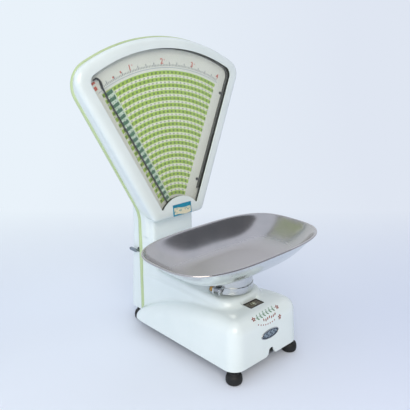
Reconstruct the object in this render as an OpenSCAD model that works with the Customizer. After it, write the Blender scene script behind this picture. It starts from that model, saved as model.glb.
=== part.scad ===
// Counter fan scale with a lift-off pan, a single main lever and a pendulum movement.
// Millimetres. X to the right, Y to the rear, Z up. The floor is z = 0.
// The seam plane between the front casing and the rear cover is the datum along Y.

/* [Base] */
// Width of the base at its bottom edge
base_w = 210; // [180:1:240]
// Front of the base, ahead of the seam plane
base_reach = 342; // [325:1:360]
// Height of the deck above the floor
deck_z = 131; // [124:1:145]
// Height of the tongue above the deck
tongue_rise = 15; // [10:1:17]
// Wall thickness of the casings
wall = 4; // [3:0.5:5]
// Radius of the upright corners of the skirt
skirt_r = 27; // [20:1:34]
// Radius of the skirt's top edges
edge_r = 24; // [16:1:30]
// Draft of the skirt's sides, in degrees
draft = 3; // [1:0.5:4]
// Where the skirt's top starts to fall, behind the base's front
drop_in = 48; // [44:1:70]
// Height of the skirt's end above its bottom edge, at the seam
drop_end = 10; // [6:1:16]
// Radius of the skirt's shoulders along the falling top
shoulder_r = 36; // [28:1:37]
// Width of the notch in the front's bottom edge
notch_w = 30; // [20:1:40]
// Height of the notch
notch_h = 17; // [10:1:22]
// Thickness of the base plate
plate_t = 3; // [2:0.5:5]

/* [Pillar] */
// Width of the pillar at the seam
pillar_w = 135; // [128:1:145]
// Width of the pillar's front face
neck_w = 122; // [114:1:126]
// Front face of the pillar, ahead of the seam
neck_reach = 41.5; // [38:0.5:45]
// Depth of the rear cover behind the seam
rear_depth = 37; // [36:1:42]
// How much deeper the rear cover is at its bottom edge
rear_swell = 16; // [0:0.5:20]
// Height at which the rear cover starts to deepen
swell_z = 243; // [200:1:260]
// Height of the joint between base casing and head casing
joint_z = 245; // [235:1:250]
// Height of the chin's underside
chin_z = 272; // [268:1:276]
// Radius of the chin's lower corners
chin_r = 12; // [8:1:14]
// Radius of the curve from the pillar into the fan's side
knee_r = 90; // [70:1:95]
// Top of the deep part of the rear cover
rear_top_z = 345; // [340:1:360]

/* [Head] */
// Lean of the front face, in degrees
lean = 7; // [5:0.5:8]
// Height of the pointer's pivot
pivot_z = 257; // [254:1:260]
// Front face at the pivot's height, ahead of the seam
face_reach = 71.5; // [70:0.5:76]
// Half angle of the fan's sides, in degrees
fan_angle = 28; // [26:0.5:30]
// Radius of the fan's top about the pivot
fan_r = 412; // [405:1:425]
// Radius of the fan's upper corners
fan_corner_r = 45; // [35:1:60]
// Width of the rounding around the bezel
bezel_round = 10; // [6:1:12]
// Depth of the rear dome behind the seam
dome_depth = 22; // [20:1:24]
// Thickness of the head casing's face
face_t = 5; // [4:0.5:6]
// Half thickness of the seam bead along Y
bead_half = 4.5; // [3:0.5:6]
// Height of the seam bead above the casing
bead_rise = 3.5; // [2:0.5:5]

/* [Window and chart] */
// Half width of the window at the pivot's height
win_half = 33; // [28:0.5:36]
// Half angle of the window's sides, in degrees
win_angle = 26.8; // [26:0.1:27.5]
// Width of the bezel above the window
win_margin = 20; // [16:1:26]
// Inner radius of the window, the arch of the chin
win_arch_r = 63.5; // [60:0.5:68]
// Radius of the window's upper corners
win_corner_r = 20; // [12:1:26]
// Depth of the chart's front behind the face
chart_depth = 18; // [17:0.5:19]
// Thickness of the window glass
glass_t = 3; // [2:0.5:3.5]
// Half angle of the pointer's travel, in degrees
swing_half = 27.4; // [25:0.1:28]
// Length of the pointer from the pivot to its tip
pointer_len = 375; // [360:1:380]
// Outer radius of the price bands
band_outer_r = 345; // [335:1:350]
// Width of the price strip at its outer end
strip_w = 22; // [14:0.5:23]

/* [Pan] */
// Width of the pan over its rim
pan_w = 410; // [380:1:430]
// Depth of the pan over its rim, front to back
pan_d = 236; // [220:1:250]
// Height of the pan's rim above the floor
rim_z = 261; // [256:1:270]
// Depth of the pan's bowl
pan_depth = 57; // [48:1:62]
// Sheet thickness of the pan
pan_t = 1.5; // [1:0.1:2]
// Middle of the pan, behind the base's front
pan_in = 106; // [102:1:112]
// Share of the pan's size that is flat at the bottom
pan_flat = 0.46; // [0.46:0.01:0.55]

/* [Pan cup] */
// Axis of the cup and stem, behind the base's front
cup_in = 113; // [110:1:118]
// Outer radius of the cup
cup_r = 46.8; // [42:0.1:48]
// Underside of the cup above the floor
cup_z = 152.5; // [151:0.5:156]
// Height of the band around the cup
band_h = 15; // [10:1:20]
// Radius of the load stem
stem_r = 6; // [5:0.5:7]
// How far the cup sinks at full load
pan_travel = 5; // [4:0.1:5]

/* [Lever work] */
// Fulcrum of the main lever, behind the base's front
fulcrum_in = 35; // [32:1:39]
// Height of all knife edges
knife_z = 85; // [82:1:90]
// Height of the check link's pins
link_z = 58; // [55:1:60]
// Band pin of the main lever, ahead of the seam
tail_reach = 36; // [34:1:38]
// Dashpot, behind the base's front
dash_in = 205; // [195:1:215]
// Dashpot, to the left of the middle
dash_x = 30; // [28:1:34]
// Outer radius of the dashpot cylinder
dash_r = 18; // [15:1:20]

/* [Movement] */
// Radius of the pointer shaft
shaft_r = 4; // [3:0.5:4.5]
// Depth of the band sector's middle behind the face
sector_depth = 56; // [55:0.5:57]
// Radius of the pendulum bob's middle about the pivot
bob_reach = 44; // [42:1:46]
// Radius of the pendulum bob
bob_r = 14; // [10:1:14]
// Angle of the pendulum from straight down at zero load, in degrees
bob_angle = 3; // [0:1:6]

/* [Lock] */
// Height of the lock shaft
lock_z = 186.5; // [184:0.5:187]
// Lock shaft, behind the seam
lock_back = 8; // [8:0.5:10]
// Length of the lock lever behind its shaft
lock_len = 20; // [16:0.5:25]
// Height of the lock lever's bar
lock_bar = 7; // [5:0.5:9]
// Turn of the lock lever, in degrees
lock_turn = 45; // [30:1:50]

/* [Feet] */
// Radius of the rubber feet
foot_r = 17.4; // [14:0.1:18]
// Height of the rubber feet
foot_pad_h = 26; // [22:1:27]
// Height of the casing's bottom edge above the floor
foot_h = 29.7; // [29:0.1:32]
// Middle of a front foot in from the base's side
foot_in = 16.3; // [15:0.1:24]
// Middle of a rear foot from the centre plane
rear_foot_x = 58; // [50:1:58]
// Middle of the rear feet, behind the seam
rear_foot_back = 19.3; // [17:0.1:19.5]
// Radius of the foot studs
stud_r = 4; // [3:0.5:5]

/* [Fits] */
// Radial clearance of running fits
run_gap = 0.05; // [0.02:0.01:0.1]
// Gap between pieces that pass each other
pass_gap = 0.3; // [0.2:0.05:0.5]

/* [Hidden] */
$fn = 64;

// Places along Y, all from the seam plane, which centres the whole scale on the origin
drop_reach = base_reach - drop_in;
pan_reach = base_reach - pan_in;
cup_reach = base_reach - cup_in;
fulcrum_reach = base_reach - fulcrum_in;
dash_reach = base_reach - dash_in;
front_reach = max(pan_reach + pan_d / 2, base_reach);
seam_y = (front_reach - rear_depth - rear_swell) / 2;
base_front = seam_y - base_reach;
neck_y = seam_y - neck_reach;
pivot_y = seam_y - face_reach;
pan_y = seam_y - pan_reach;
cup_y = seam_y - cup_reach;
fulcrum_y = seam_y - fulcrum_reach;
dash_y = seam_y - dash_reach;
drop_y = seam_y - drop_reach;
rear_y = seam_y + rear_depth;
win_r = fan_r - win_margin;
tongue_z = deck_z + tongue_rise;
plate_z = foot_h + plate_t;
pillar_half = pillar_w / 2;
neck_half = neck_w / 2;
base_half = base_w / 2;
eps = 0.01;
big = 900;

// Lever ratios
arm_load = fulcrum_reach - cup_reach;
arm_tail = fulcrum_reach - tail_reach;
band_travel = pan_travel * arm_tail / arm_load / cos(lean);
sector_r = band_travel / (2 * swing_half * PI / 180);

// The radius of the skirt's falling top
drop_h = deck_z - foot_h - drop_end;
drop_r = (drop_reach * drop_reach + drop_h * drop_h) / (2 * drop_h);

// Points of an arc from angle a0 to a1 about c
function arc(r, a0, a1, n, c = [0, 0], skip = 0) =
    [for (i = [skip:n]) c + r * [cos(a0 + (a1 - a0) * i / n), sin(a0 + (a1 - a0) * i / n)]];

// A right half outline, made whole by its mirror image
function mirrored(p) = concat(p, [for (i = [len(p) - 2:-1:0]) [-p[i][0], p[i][1]]]);

// Middle of a corner round that touches a leaning side and the top arc
function corner_mid(w, a, r, rc) =
    let (t = tan(a), k = w - rc / cos(a), qa = 1 + t * t, qb = 2 * k * t,
        qc = k * k - pow(r - rc, 2), z = (-qb + sqrt(qb * qb - 4 * qa * qc)) / (2 * qa))
    [k + z * t, z];

// Right side of a fan from the end of its leaning side to the middle of its top
function fan_top(w, a, r, rc) =
    let (c = corner_mid(w, a, r, rc), m = atan2(c[1], c[0]))
    concat(arc(rc, -a, m, 8, c), arc(r, m, 90, 20, [0, 0], 1));

// The casing's outline in the XZ plane, relative to the pivot, shrunk by i
fan_w = pillar_half - (chin_z - pivot_z) * tan(fan_angle);
knee_z = chin_z - pivot_z - knee_r * tan(fan_angle / 2);
function knee(i, n) = arc(knee_r + i, 180, 180 - fan_angle, n, [pillar_half + knee_r, knee_z]);
function casing_outline(i, z0) =
    let (w = fan_w - i / cos(fan_angle), r = chin_r - i / 2)
    mirrored(concat(
        z0 < knee_z ? concat([[pillar_half - i, z0]], knee(i, 8)) : chin_corner(w, r, z0),
        fan_top(w, fan_angle, fan_r - i, fan_corner_r - i)));

// The chin's round lower corner, between its underside at z0 and the leaning side
function chin_corner(w, r, z0) =
    arc(r, -90, -fan_angle, 5, [w + (z0 + r) * tan(fan_angle) - r / cos(fan_angle), z0 + r]);

// The window's outline on the leaning face, relative to the pivot, shrunk by i
function window_outline(i, v0) =
    mirrored(concat([[win_half - i / cos(win_angle) + v0 * tan(win_angle), v0]],
        fan_top(win_half - i / cos(win_angle), win_angle, win_r - i, win_corner_r - i)));

// Places children on the leaning face: x right, y up the face, z towards the viewer
module on_face(depth) {
    translate([0, pivot_y, pivot_z])
        rotate([90 - lean, 0, 0])
            translate([0, 0, -depth]) children();
}

// Extrudes an XZ outline from y0 to y1
module along_y(y0, y1) {
    translate([0, y1, 0]) rotate([90, 0, 0]) linear_extrude(y1 - y0) children();
}

// Extrudes a YZ outline from x0 to x1
module along_x(x0, x1) {
    translate([x0, 0, 0]) rotate([90, 0, 90]) linear_extrude(x1 - x0) children();
}

// A disc with its axis along X
module disc_x(r, x0, x1) {
    translate([x0, 0, 0]) rotate([0, 90, 0]) cylinder(r = r, h = x1 - x0);
}

// All that lies behind the leaning face by at least this depth
module behind_face(depth) {
    on_face(depth) translate([-big / 2, -big / 2, -big]) cube([big, big * 1.5, big]);
}

/* The base */

// A solid through rings with the same count of points, closed by its first and last ring
module loft(rings) {
    n = len(rings[0]);
    last = len(rings) - 1;
    polyhedron(
        [for (r = rings) each r],
        concat(
            [[for (k = [0:n - 1]) k]],
            [[for (k = [n - 1:-1:0]) last * n + k]],
            [for (i = [0:last - 1], k = [0:n - 1])
                [i * n + k, (i + 1) * n + k, (i + 1) * n + (k + 1) % n]],
            [for (i = [0:last - 1], k = [0:n - 1])
                [i * n + k, (i + 1) * n + (k + 1) % n, i * n + (k + 1) % n]]));
}

// Height of the skirt's top at y, shrunk by i
function skirt_top(y, i) =
    y <= drop_y ? deck_z - i : deck_z - drop_r + sqrt(pow(drop_r - i, 2) - pow(y - drop_y, 2));

// One ring of the skirt: up its left side, over both round shoulders and down its right side.
// The shoulders grow from the top edge's radius to their own over this length behind the drop.
shoulder_run = 70;
function skirt_ring(y, i) =
    let (low = foot_h - (i > 0 ? 1 : 0), top = skirt_top(y, i),
        share = min(1, max(0, (y - drop_y) / shoulder_run)),
        a = edge_r + (shoulder_r - edge_r) * share - i,
        b = min(a, top - low - 1),
        mid_z = top - b,
        mid_x = base_half - i - (mid_z - foot_h) * tan(draft) - a)
    concat([[i - base_half, y, low]],
        [for (t = [180:-15:90]) [a * cos(t) - mid_x, y, mid_z + b * sin(t)]],
        [for (t = [90:-15:0]) [mid_x + a * cos(t), y, mid_z + b * sin(t)]],
        [[base_half - i, y, low]]);

// Rounding of the skirt's rear corners
skirt_rear_r = 30;

// The skirt, shrunk by i: a loft along Y, cut to its plan and to its round front edge
module skirt(i) {
    rear_r = skirt_rear_r;
    half = base_half - i;
    y0 = base_front + i;
    round_r = edge_r - i;
    round_z = deck_z - edge_r;
    steps = 14;
    // The edge's middle, in from the foot of a face that leans by the draft
    round_in = (round_z - foot_h) * tan(draft) + round_r / cos(draft);
    intersection() {
        linear_extrude(deck_z) polygon(concat(
            arc(skirt_r - i, 180, 270, 10, [-half + skirt_r - i, y0 + skirt_r - i]),
            arc(skirt_r - i, 270, 360, 10, [half - skirt_r + i, y0 + skirt_r - i]),
            arc(rear_r - i, 0, 90, 10, [half - rear_r + i, seam_y - i - rear_r + i]),
            arc(rear_r - i, 90, 180, 10, [-half + rear_r - i, seam_y - i - rear_r + i])));
        along_x(-base_half, base_half) polygon(concat(
            [[seam_y, 0], [y0, 0], [y0, foot_h]],
            arc(round_r, 180 - draft, 90, 8, [y0 + round_in, round_z]),
            [[seam_y, deck_z - i]]));
        loft(concat([skirt_ring(base_front - 1, i)],
            [for (k = [0:steps]) skirt_ring(drop_y + drop_reach * k / steps, i)]));
    }
}

// Plan of the pillar, shrunk by i, with rounded front edges
pillar_round = 6;
module pillar_plan(i) {
    r = pillar_round - i / 2;
    y1 = seam_y + (i > 0 ? 1 : 0);
    polygon(concat([[pillar_half - i, y1], [-pillar_half + i, y1]],
        arc(r, 180, 270, 8, [-neck_half + i + r, neck_y + i + r]),
        arc(r, 270, 360, 8, [neck_half - i - r, neck_y + i + r])));
}

// The tongue under the pan cup, shrunk by i, from z0 up to z1, with its round nose ahead of the cup
nose_r = cup_r + 0.7;
nose_back = 24;
module tongue(i, z0, z1) {
    translate([0, 0, z0]) linear_extrude(z1 - z0) hull() {
        translate([0, cup_y]) circle(nose_r - i);
        translate([-neck_half + i, cup_y + nose_back])
            square([neck_w - 2 * i, neck_y - cup_y - nose_back + wall + pillar_round]);
    }
}

// The level's window lies on the deck, just ahead of the tongue's nose
level_w = 44;
level_d = 26;
level_gap = 1;
level_y = cup_y - nose_r - level_gap - level_d / 2;
stem_hole_r = stem_r + 4;
notch_x = 8;
notch_step = notch_w / 4;
// Bosses for the base plate's screws: two ahead of the cup and two near the seam
boss_r = 7;
boss_front_x = base_half - 25;
boss_rear_x = pillar_half - 17.5;
boss_front_y = cup_y - 55;
boss_rear_y = seam_y - 60;
case_bosses = [for (s = [-1, 1]) each [[s * boss_front_x, boss_front_y], [s * boss_rear_x, boss_rear_y]]];
neck_fillet = 22;
tongue_step = 4;

module base_casing() {
    color("honeydew") difference() {
        union() {
            difference() {
                union() {
                    skirt(0);
                    translate([-pillar_half, drop_y, foot_h])
                        cube([pillar_w, seam_y - drop_y, deck_z - foot_h]);
                    tongue(0, deck_z - eps, tongue_z - tongue_step);
                    tongue(tongue_step, deck_z - eps, tongue_z);
                    translate([0, 0, foot_h]) linear_extrude(joint_z - foot_h) pillar_plan(0);
                }
                skirt(wall);
                translate([-pillar_half + wall, drop_y, foot_h - 1])
                    cube([pillar_w - 2 * wall, seam_y - drop_y + 1, deck_z - wall - foot_h + 1]);
                tongue(wall + tongue_step, deck_z - wall - 1, tongue_z - wall);
                translate([0, 0, foot_h - 1]) linear_extrude(joint_z - foot_h + 2) pillar_plan(wall);
            }
            // Hollow fillet from the pillar's front down to the tongue
            difference() {
                translate([-neck_half + pillar_round, neck_y - neck_fillet, tongue_z])
                    cube([neck_w - 2 * pillar_round, neck_fillet + eps, neck_fillet]);
                translate([0, neck_y - neck_fillet, tongue_z + neck_fillet])
                    disc_x(neck_fillet, -neck_half, neck_half);
            }
            for (p = case_bosses)
                translate([p[0], p[1], plate_z]) cylinder(r = boss_r, h = deck_z - wall / 2 - plate_z);
        }
        translate([0, cup_y, deck_z - 2 * wall]) cylinder(r = stem_hole_r, h = tongue_rise + 3 * wall);
        translate([-level_w / 2, level_y - level_d / 2, deck_z - 2 * wall])
            cube([level_w, level_d, 3 * wall]);
        translate([notch_x, base_front - 1, foot_h]) {
            translate([-notch_w / 2, 0, -1]) cube([notch_w, 3 * wall, notch_h - notch_step + 1]);
            translate([-notch_w / 2 + notch_step, 0, -1])
                cube([notch_w - 2 * notch_step, 3 * wall, notch_h + 1]);
        }
    }
}

module foot_places() {
    for (s = [-1, 1]) {
        translate([s * (base_half - foot_in), base_front + foot_in, 0]) children();
        translate([s * rear_foot_x, seam_y + rear_foot_back, 0]) children();
    }
}

// The base plate's outline, a little inside the walls
plate_gap = 0.5;
plate_edge = wall + plate_gap;
module plate_plan() {
    half = base_half - plate_edge;
    r = skirt_r - plate_edge;
    flank = base_reach - 2 * plate_edge - r - skirt_rear_r;
    translate([-half, base_front + plate_edge + r]) square([2 * half, flank]);
    translate([-half + r, base_front + plate_edge]) square([2 * (half - r), r]);
    for (s = [-1, 1]) translate([s * (half - r), base_front + plate_edge + r]) circle(r);
    translate([-pillar_half + plate_edge, seam_y - 2 * skirt_rear_r])
        square([pillar_w - 2 * plate_edge, 2 * skirt_rear_r]);
    deep_plan(plate_edge, swell_at(plate_z));
}

foot_boss_h = 10;
foot_boss_r = stud_r + 3;
module base_plate() {
    color("dimgray") difference() {
        union() {
            translate([0, 0, foot_h]) linear_extrude(plate_t) plate_plan();
            intersection() {
                foot_places() translate([0, 0, plate_z - eps]) cylinder(r = foot_boss_r, h = foot_boss_h);
                linear_extrude(deck_z) plate_plan();
            }
        }
        foot_places() translate([0, 0, foot_h - 1])
            cylinder(r = stud_r + run_gap, h = plate_t + foot_boss_h + 2);
    }
}

/* The head */

module head_step(inset, depth) {
    intersection() {
        translate([0, 0, pivot_z])
            along_y(pivot_y - 40, seam_y) polygon(casing_outline(inset, chin_z - pivot_z));
        behind_face(depth);
    }
}

// The short neck between the joint and the chin, shrunk by i, with a slab where it widens
knee_d = 20;
module neck_part(i, z1) {
    more = i > 0 ? 1 : 0;
    intersection() {
        translate([0, 0, pivot_z])
            along_y(neck_y - 1, seam_y + more) polygon(casing_outline(i, joint_z - pivot_z - 1));
        translate([0, 0, joint_z - more]) linear_extrude(z1 - joint_z) {
            pillar_plan(i);
            translate([-pillar_half - knee_d, seam_y - knee_d])
                square([pillar_w + 2 * knee_d, knee_d + more]);
        }
    }
}

module head_casing() {
    color("honeydew") difference() {
        union() {
            hull() {
                head_step(0, bezel_round);
                head_step(bezel_round * 0.3, bezel_round * 0.3);
                head_step(bezel_round, 0);
            }
            neck_part(0, chin_z + chin_r);
        }
        intersection() {
            translate([0, 0, pivot_z]) along_y(pivot_y - 40, seam_y + 1)
                polygon(casing_outline(wall, chin_z + wall - pivot_z));
            behind_face(face_t);
        }
        neck_part(wall, chin_z + 3 * wall);
        on_face(face_t + 1) linear_extrude(face_t + 20) difference() {
            polygon(window_outline(0, 20));
            circle(win_arch_r);
        }
    }
}

// Layers behind the face: a lip, the glass in its groove, then a liner down to the chart
gasket_w = 7;
glass_front = face_t + 2;
glass_back = glass_front + glass_t;
module window_ring(outer, inner, d0, d1) {
    on_face(d1) linear_extrude(d1 - d0) difference() {
        polygon(window_outline(-outer, 20));
        circle(win_arch_r - outer);
        difference() {
            polygon(window_outline(-inner, 20 - 1));
            circle(win_arch_r - inner);
        }
    }
}

module window_gasket() {
    color("#20241f") {
        window_ring(gasket_w, 0, face_t, glass_front);
        window_ring(gasket_w, gasket_w - 3, glass_front, glass_back);
        intersection() {
            window_ring(gasket_w, 0, glass_back, chart_depth);
            on_face(chart_depth) translate([-big / 2, win_arch_r + 6, 0]) cube([big, big, chart_depth]);
        }
    }
}

module window_glass() {
    color("azure", 0.35) on_face(glass_back) linear_extrude(glass_t) difference() {
        polygon(window_outline(-gasket_w + 3, 20));
        circle(win_arch_r - gasket_w + 3);
    }
}

chart_t = 2;
chart_back = chart_depth + chart_t;
module chart_plate() {
    color("#d9dfd2") on_face(chart_back) difference() {
        linear_extrude(chart_t) difference() {
            polygon(window_outline(-gasket_w, 40));
            circle(win_arch_r - gasket_w);
        }
        chart_screw_places() translate([0, 0, -1]) cylinder(r = chart_screw_r, h = chart_t + 2);
    }
}

chart_screw_r = 2;
screw_head_t = 1.5;
screw_head_more = 1.4;
screw_upper = [173, 285];
screw_lower = [73, 90];
module chart_screw_places() {
    for (s = [-1, 1], p = [screw_upper, screw_lower]) translate([s * p[0], p[1], 0]) children();
}

module chart_screws() {
    color("#2b2b2b") on_face(chart_back) chart_screw_places() {
        cylinder(r = chart_screw_r, h = chart_t);
        translate([0, 0, chart_t]) cylinder(r = chart_screw_r + screw_head_more, h = screw_head_t);
    }
}

// A flat frame behind the chart and two legs back to the upright post
support_t = 4;
support_back = chart_back + support_t;
support_bar = 14;
support_low = 60;
support_top = 310;
support_bend = 290;
support_x = 180;
strut_r = 5;
arm_y = seam_y + 4;
arm_d = 10;
arm_h = 14;
arm_z = 325;
leg_x = 60;
arm_half = leg_x + 6;
module chart_support() {
    bar = support_bar;
    color("slategray") difference() {
        union() {
            on_face(support_back) linear_extrude(support_t) {
                for (s = [-1, 1]) polygon([
                    [s * (leg_x - bar / 2), support_low], [s * (leg_x + bar / 2), support_low],
                    [s * (support_x + bar / 2), support_bend], [s * (support_x + bar / 2), support_top],
                    [s * (support_x - bar), support_top], [s * (support_x - bar), support_bend]]);
                translate([-leg_x, support_low]) square([2 * leg_x, bar]);
                translate([-support_x, support_top - bar]) square([2 * support_x, bar]);
            }
            intersection() {
                for (s = [-1, 1]) translate([s * leg_x, arm_y, arm_z])
                    rotate([90, 0, 0]) cylinder(r = strut_r, h = face_reach);
                behind_face(support_back - eps);
            }
        }
        on_face(support_back) chart_screw_places()
            translate([0, 0, -1]) cylinder(r = chart_screw_r, h = support_t + 2);
    }
}

/* The rear */

module dome_slab(i, depth, t) {
    translate([0, 0, pivot_z]) along_y(seam_y + depth, seam_y + depth + t)
        polygon(casing_outline(i, chin_z - pivot_z + i / 2));
}

module dome(i) {
    hull() {
        dome_slab(i + 0.5, 0, bead_half);
        dome_slab(i + dome_depth - bead_half, dome_depth - 1 - i, 1);
    }
}

// How much further back than rear_y the cover's back stands at height z
function swell_at(z) = rear_swell * max(0, swell_z - z) / (swell_z - foot_h);

// Plan of the cover's deep lower part, shrunk by i, and deeper by the swell
rear_round = 16;
module deep_plan(i, swell) {
    r = rear_round - i;
    half = pillar_half - i;
    y0 = i > 0 ? seam_y - 1 : seam_y;
    y1 = rear_y + swell - i;
    polygon(concat([[-half, y0], [half, y0]],
        arc(r, 0, 90, 8, [half - r, y1 - r]), arc(r, 90, 180, 8, [-half + r, y1 - r])));
}

module deep_part(i) {
    low = foot_h - (i > 0 ? 1 : 0);
    slab = 0.5;
    translate([0, 0, swell_z]) linear_extrude(rear_top_z - swell_z - i) deep_plan(i, 0);
    hull() {
        translate([0, 0, swell_z]) linear_extrude(slab) deep_plan(i, 0);
        translate([0, 0, low]) linear_extrude(slab) deep_plan(i, rear_swell);
    }
}

rear_win_r0 = 298;
rear_win_r1 = 372;
rear_win_a = 26;
module rear_window(grow) {
    polygon(concat(arc(rear_win_r1 + grow, 90 - rear_win_a, 90 + rear_win_a, 24),
        arc(rear_win_r0 - grow, 90 + rear_win_a, 90 - rear_win_a, 24)));
}

// Three pairs of screws hold the cover to the post, inside its rounded edges
cover_screw_r = 2.5;
cover_screw_x = pillar_half - rear_round - 6;
cover_screw_zs = [foot_h + 16, joint_z - 30, rear_top_z - 22];
cover_screw_in = 4;
module cover_screw_places() {
    for (s = [-1, 1], z = cover_screw_zs) translate([s * cover_screw_x, swell_at(z), z]) children();
}

dome_wall = 3;
module rear_cover() {
    color("honeydew") difference() {
        union() {
            dome(0);
            deep_part(0);
            translate([0, 0, pivot_z]) along_y(seam_y, seam_y + bead_half)
                polygon(casing_outline(0, joint_z - pivot_z - 1));
        }
        dome(dome_wall);
        deep_part(wall);
        translate([0, 0, pivot_z]) along_y(seam_y - 1, seam_y + bead_half - 1)
            polygon(casing_outline(wall, joint_z - pivot_z));
        translate([0, 0, pivot_z]) along_y(seam_y, seam_y + dome_depth + 1) rear_window(0);
        cover_screw_places() translate([0, rear_y - wall - 1, 0])
            rotate([-90, 0, 0]) cylinder(r = cover_screw_r, h = wall + 2);
        translate([0, seam_y + lock_back, lock_z])
            disc_x(lock_bush_r, -pillar_half - 1, -pillar_half + wall + 1);
    }
}

module cover_screws() {
    color("silver") cover_screw_places() translate([0, rear_y - wall - cover_screw_in, 0])
        rotate([-90, 0, 0]) cylinder(r = cover_screw_r, h = wall + cover_screw_in);
}

// The rear glass lies against the inside of the dome's wall
rear_glass_lap = 5;
module rear_glass() {
    y1 = seam_y + dome_depth - dome_wall;
    color("azure", 0.35) translate([0, 0, pivot_z]) along_y(y1 - glass_t, y1) rear_window(rear_glass_lap);
}

// The rear chart shows past the window's lower edge, and it is a degree wider at each end
rear_chart_t = 1.5;
rear_chart_top = rear_win_r1 - 2;
rear_chart_low = rear_win_r0 - 10;
rear_chart_a = rear_win_a + 1;
module rear_chart() {
    color("#e6e8df") on_face(support_back + rear_chart_t) linear_extrude(rear_chart_t) polygon(concat(
        arc(rear_chart_top, 90 - rear_chart_a, 90 + rear_chart_a, 24),
        arc(rear_chart_low, 90 + rear_chart_a, 90 - rear_chart_a, 24)));
}

// The bead follows the seam around pillar and head
module seam_bead() {
    color("#b9d8a4") difference() {
        translate([0, 0, pivot_z]) along_y(seam_y - bead_half, seam_y + bead_half)
            polygon(casing_outline(-bead_rise, foot_h - pivot_z));
        translate([0, 0, pivot_z]) along_y(seam_y - bead_half - 1, seam_y + bead_half + 1)
            polygon(casing_outline(0, foot_h - pivot_z - 1));
        translate([-base_half, seam_y - big, 0]) cube([base_w, big, bead_low_z]);
    }
}

// The bead's front half ends just above the falling top of the skirt
bead_low_z = deck_z - drop_r + sqrt(pow(drop_r, 2) - pow(drop_reach - bead_half, 2)) + pass_gap;

/* The frame inside */

post_half = 30;
post_t = 10.5;
post_back = rear_y - wall - 1;
post_front = post_back - post_t;
post_foot = 8;
module upright_post() {
    color("slategray") {
        translate([-post_half, post_front, plate_z])
            cube([2 * post_half, post_t, arm_z + arm_h / 2 - plate_z]);
        translate([-post_half - post_foot, post_front - post_foot, plate_z])
            cube([2 * (post_half + post_foot), post_t + post_foot, 2 * plate_t]);
        translate([-arm_half, arm_y, arm_z - arm_h / 2]) cube([2 * arm_half, arm_d, arm_h]);
        translate([-post_half, arm_y, arm_z - arm_h / 2])
            cube([2 * post_half, post_back - arm_y, arm_h]);
    }
}

// The hub of the pointer turns just behind the neck's front wall
hub_gap = 1;
hub_t = 2.5;
hub_r = shaft_r + 5;
hub_front = (neck_y + wall + hub_gap - pivot_y + hub_r * sin(lean)) / cos(lean);
hub_back = hub_front + hub_t;
frame_t = 4;
frame_low = 14;
front_plate = max(hub_back + 1.5, hub_front + (frame_low - hub_r) * sin(lean) / cos(lean));
rear_plate = 84;
frame_half = 46;
frame_top = 26;
bush_r = 8;
spacer_r = 5;
bracket_d = 14;
bracket_h = 34;
module movement_frame() {
    color("slategray") difference() {
        union() {
            for (d = [front_plate, rear_plate]) on_face(d + frame_t)
                translate([-frame_half, -frame_low, 0])
                    cube([2 * frame_half, frame_top + frame_low, frame_t]);
            on_face(rear_plate) for (s = [-1, 1])
                translate([s * (frame_half - spacer_r - 1), frame_top - bush_r, 0])
                    cylinder(r = spacer_r, h = rear_plate - front_plate - frame_t);
            intersection() {
                translate([-post_half + spacer_r, post_front - bracket_d, pivot_z - bracket_h / 2])
                    cube([2 * (post_half - spacer_r), bracket_d, bracket_h]);
                behind_face(rear_plate + 1);
            }
        }
        on_face(rear_plate + frame_t + 5) cylinder(r = bush_r, h = rear_plate);
    }
}

module shaft_bushes() {
    color("goldenrod") difference() {
        union() {
            on_face(front_plate + frame_t) cylinder(r = bush_r, h = frame_t);
            on_face(rear_plate + frame_t) cylinder(r = bush_r, h = frame_t);
        }
        on_face(rear_plate + 20) cylinder(r = shaft_r + run_gap, h = rear_plate + 10);
    }
}

/* The pointer, which turns about the pivot's axis */

pointer_depth = 13;
pointer_t = 1.5;
rear_pointer_depth = 29;
rear_pointer_t = 1.2;
shaft_back = rear_plate + frame_t + 2;
module pointer_shaft() {
    color("silver") on_face(shaft_back) cylinder(r = shaft_r, h = shaft_back - hub_front);
}

// A piece that turns with the pointer, drawn as at the middle of the scale
module at_zero() {
    rotate([0, 0, swing_half]) children();
}

// The crank that brings the pointer forward passes under the chart's lower edge
crank_in = win_arch_r - 24;
crank_out = win_arch_r - 15;
crank_half = 4;
// The blade starts just above the chin, kinks below its tip and ends in a hook to the right
blade_low = win_arch_r + 4;
blade_half = 1.2;
kink_low = pointer_len - 34;
kink_high = pointer_len - 30;
hook_low = pointer_len - 12;
hook_out = 6;
// The strip's tongue joins the crank just below the strip
strip_low = win_arch_r - 2;
strip_low_w = 14;
module pointer_arm() {
    color("#181818") {
        on_face(hub_back) at_zero() difference() {
            linear_extrude(hub_t) {
                circle(hub_r);
                translate([-crank_half, 0]) square([2 * crank_half, crank_out]);
            }
            translate([0, 0, -1]) cylinder(r = shaft_r, h = hub_t + 2);
        }
        on_face(hub_back) at_zero() translate([-crank_half, crank_in, 0])
            cube([2 * crank_half, crank_out - crank_in, hub_back - pointer_depth + pointer_t]);
        on_face(pointer_depth) at_zero() linear_extrude(pointer_t) {
            polygon([[-crank_half, crank_in], [crank_half, crank_in], [blade_half, blade_low],
                [0.8, kink_low], [0.4, kink_high], [-1.5, kink_high], [-blade_half, blade_low]]);
            polygon([[-1.5, kink_low], [1, kink_low], [2.5, hook_low], [hook_out, pointer_len - 6],
                [2, pointer_len], [-1, pointer_len - 10]]);
            polygon([[0, crank_in], [strip_low_w, crank_in + 4], [strip_low_w, strip_low], [0, strip_low]]);
        }
    }
}

module price_strip() {
    left = blade_half + 0.8;
    strip_t = 1;
    color("#e9eedd") on_face(pointer_depth) at_zero() linear_extrude(strip_t)
        polygon([[left, strip_low], [strip_low_w, strip_low], [strip_w, band_outer_r - 10],
            [strip_w - 1, band_outer_r], [left - 0.2, band_outer_r]]);
}

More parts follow.
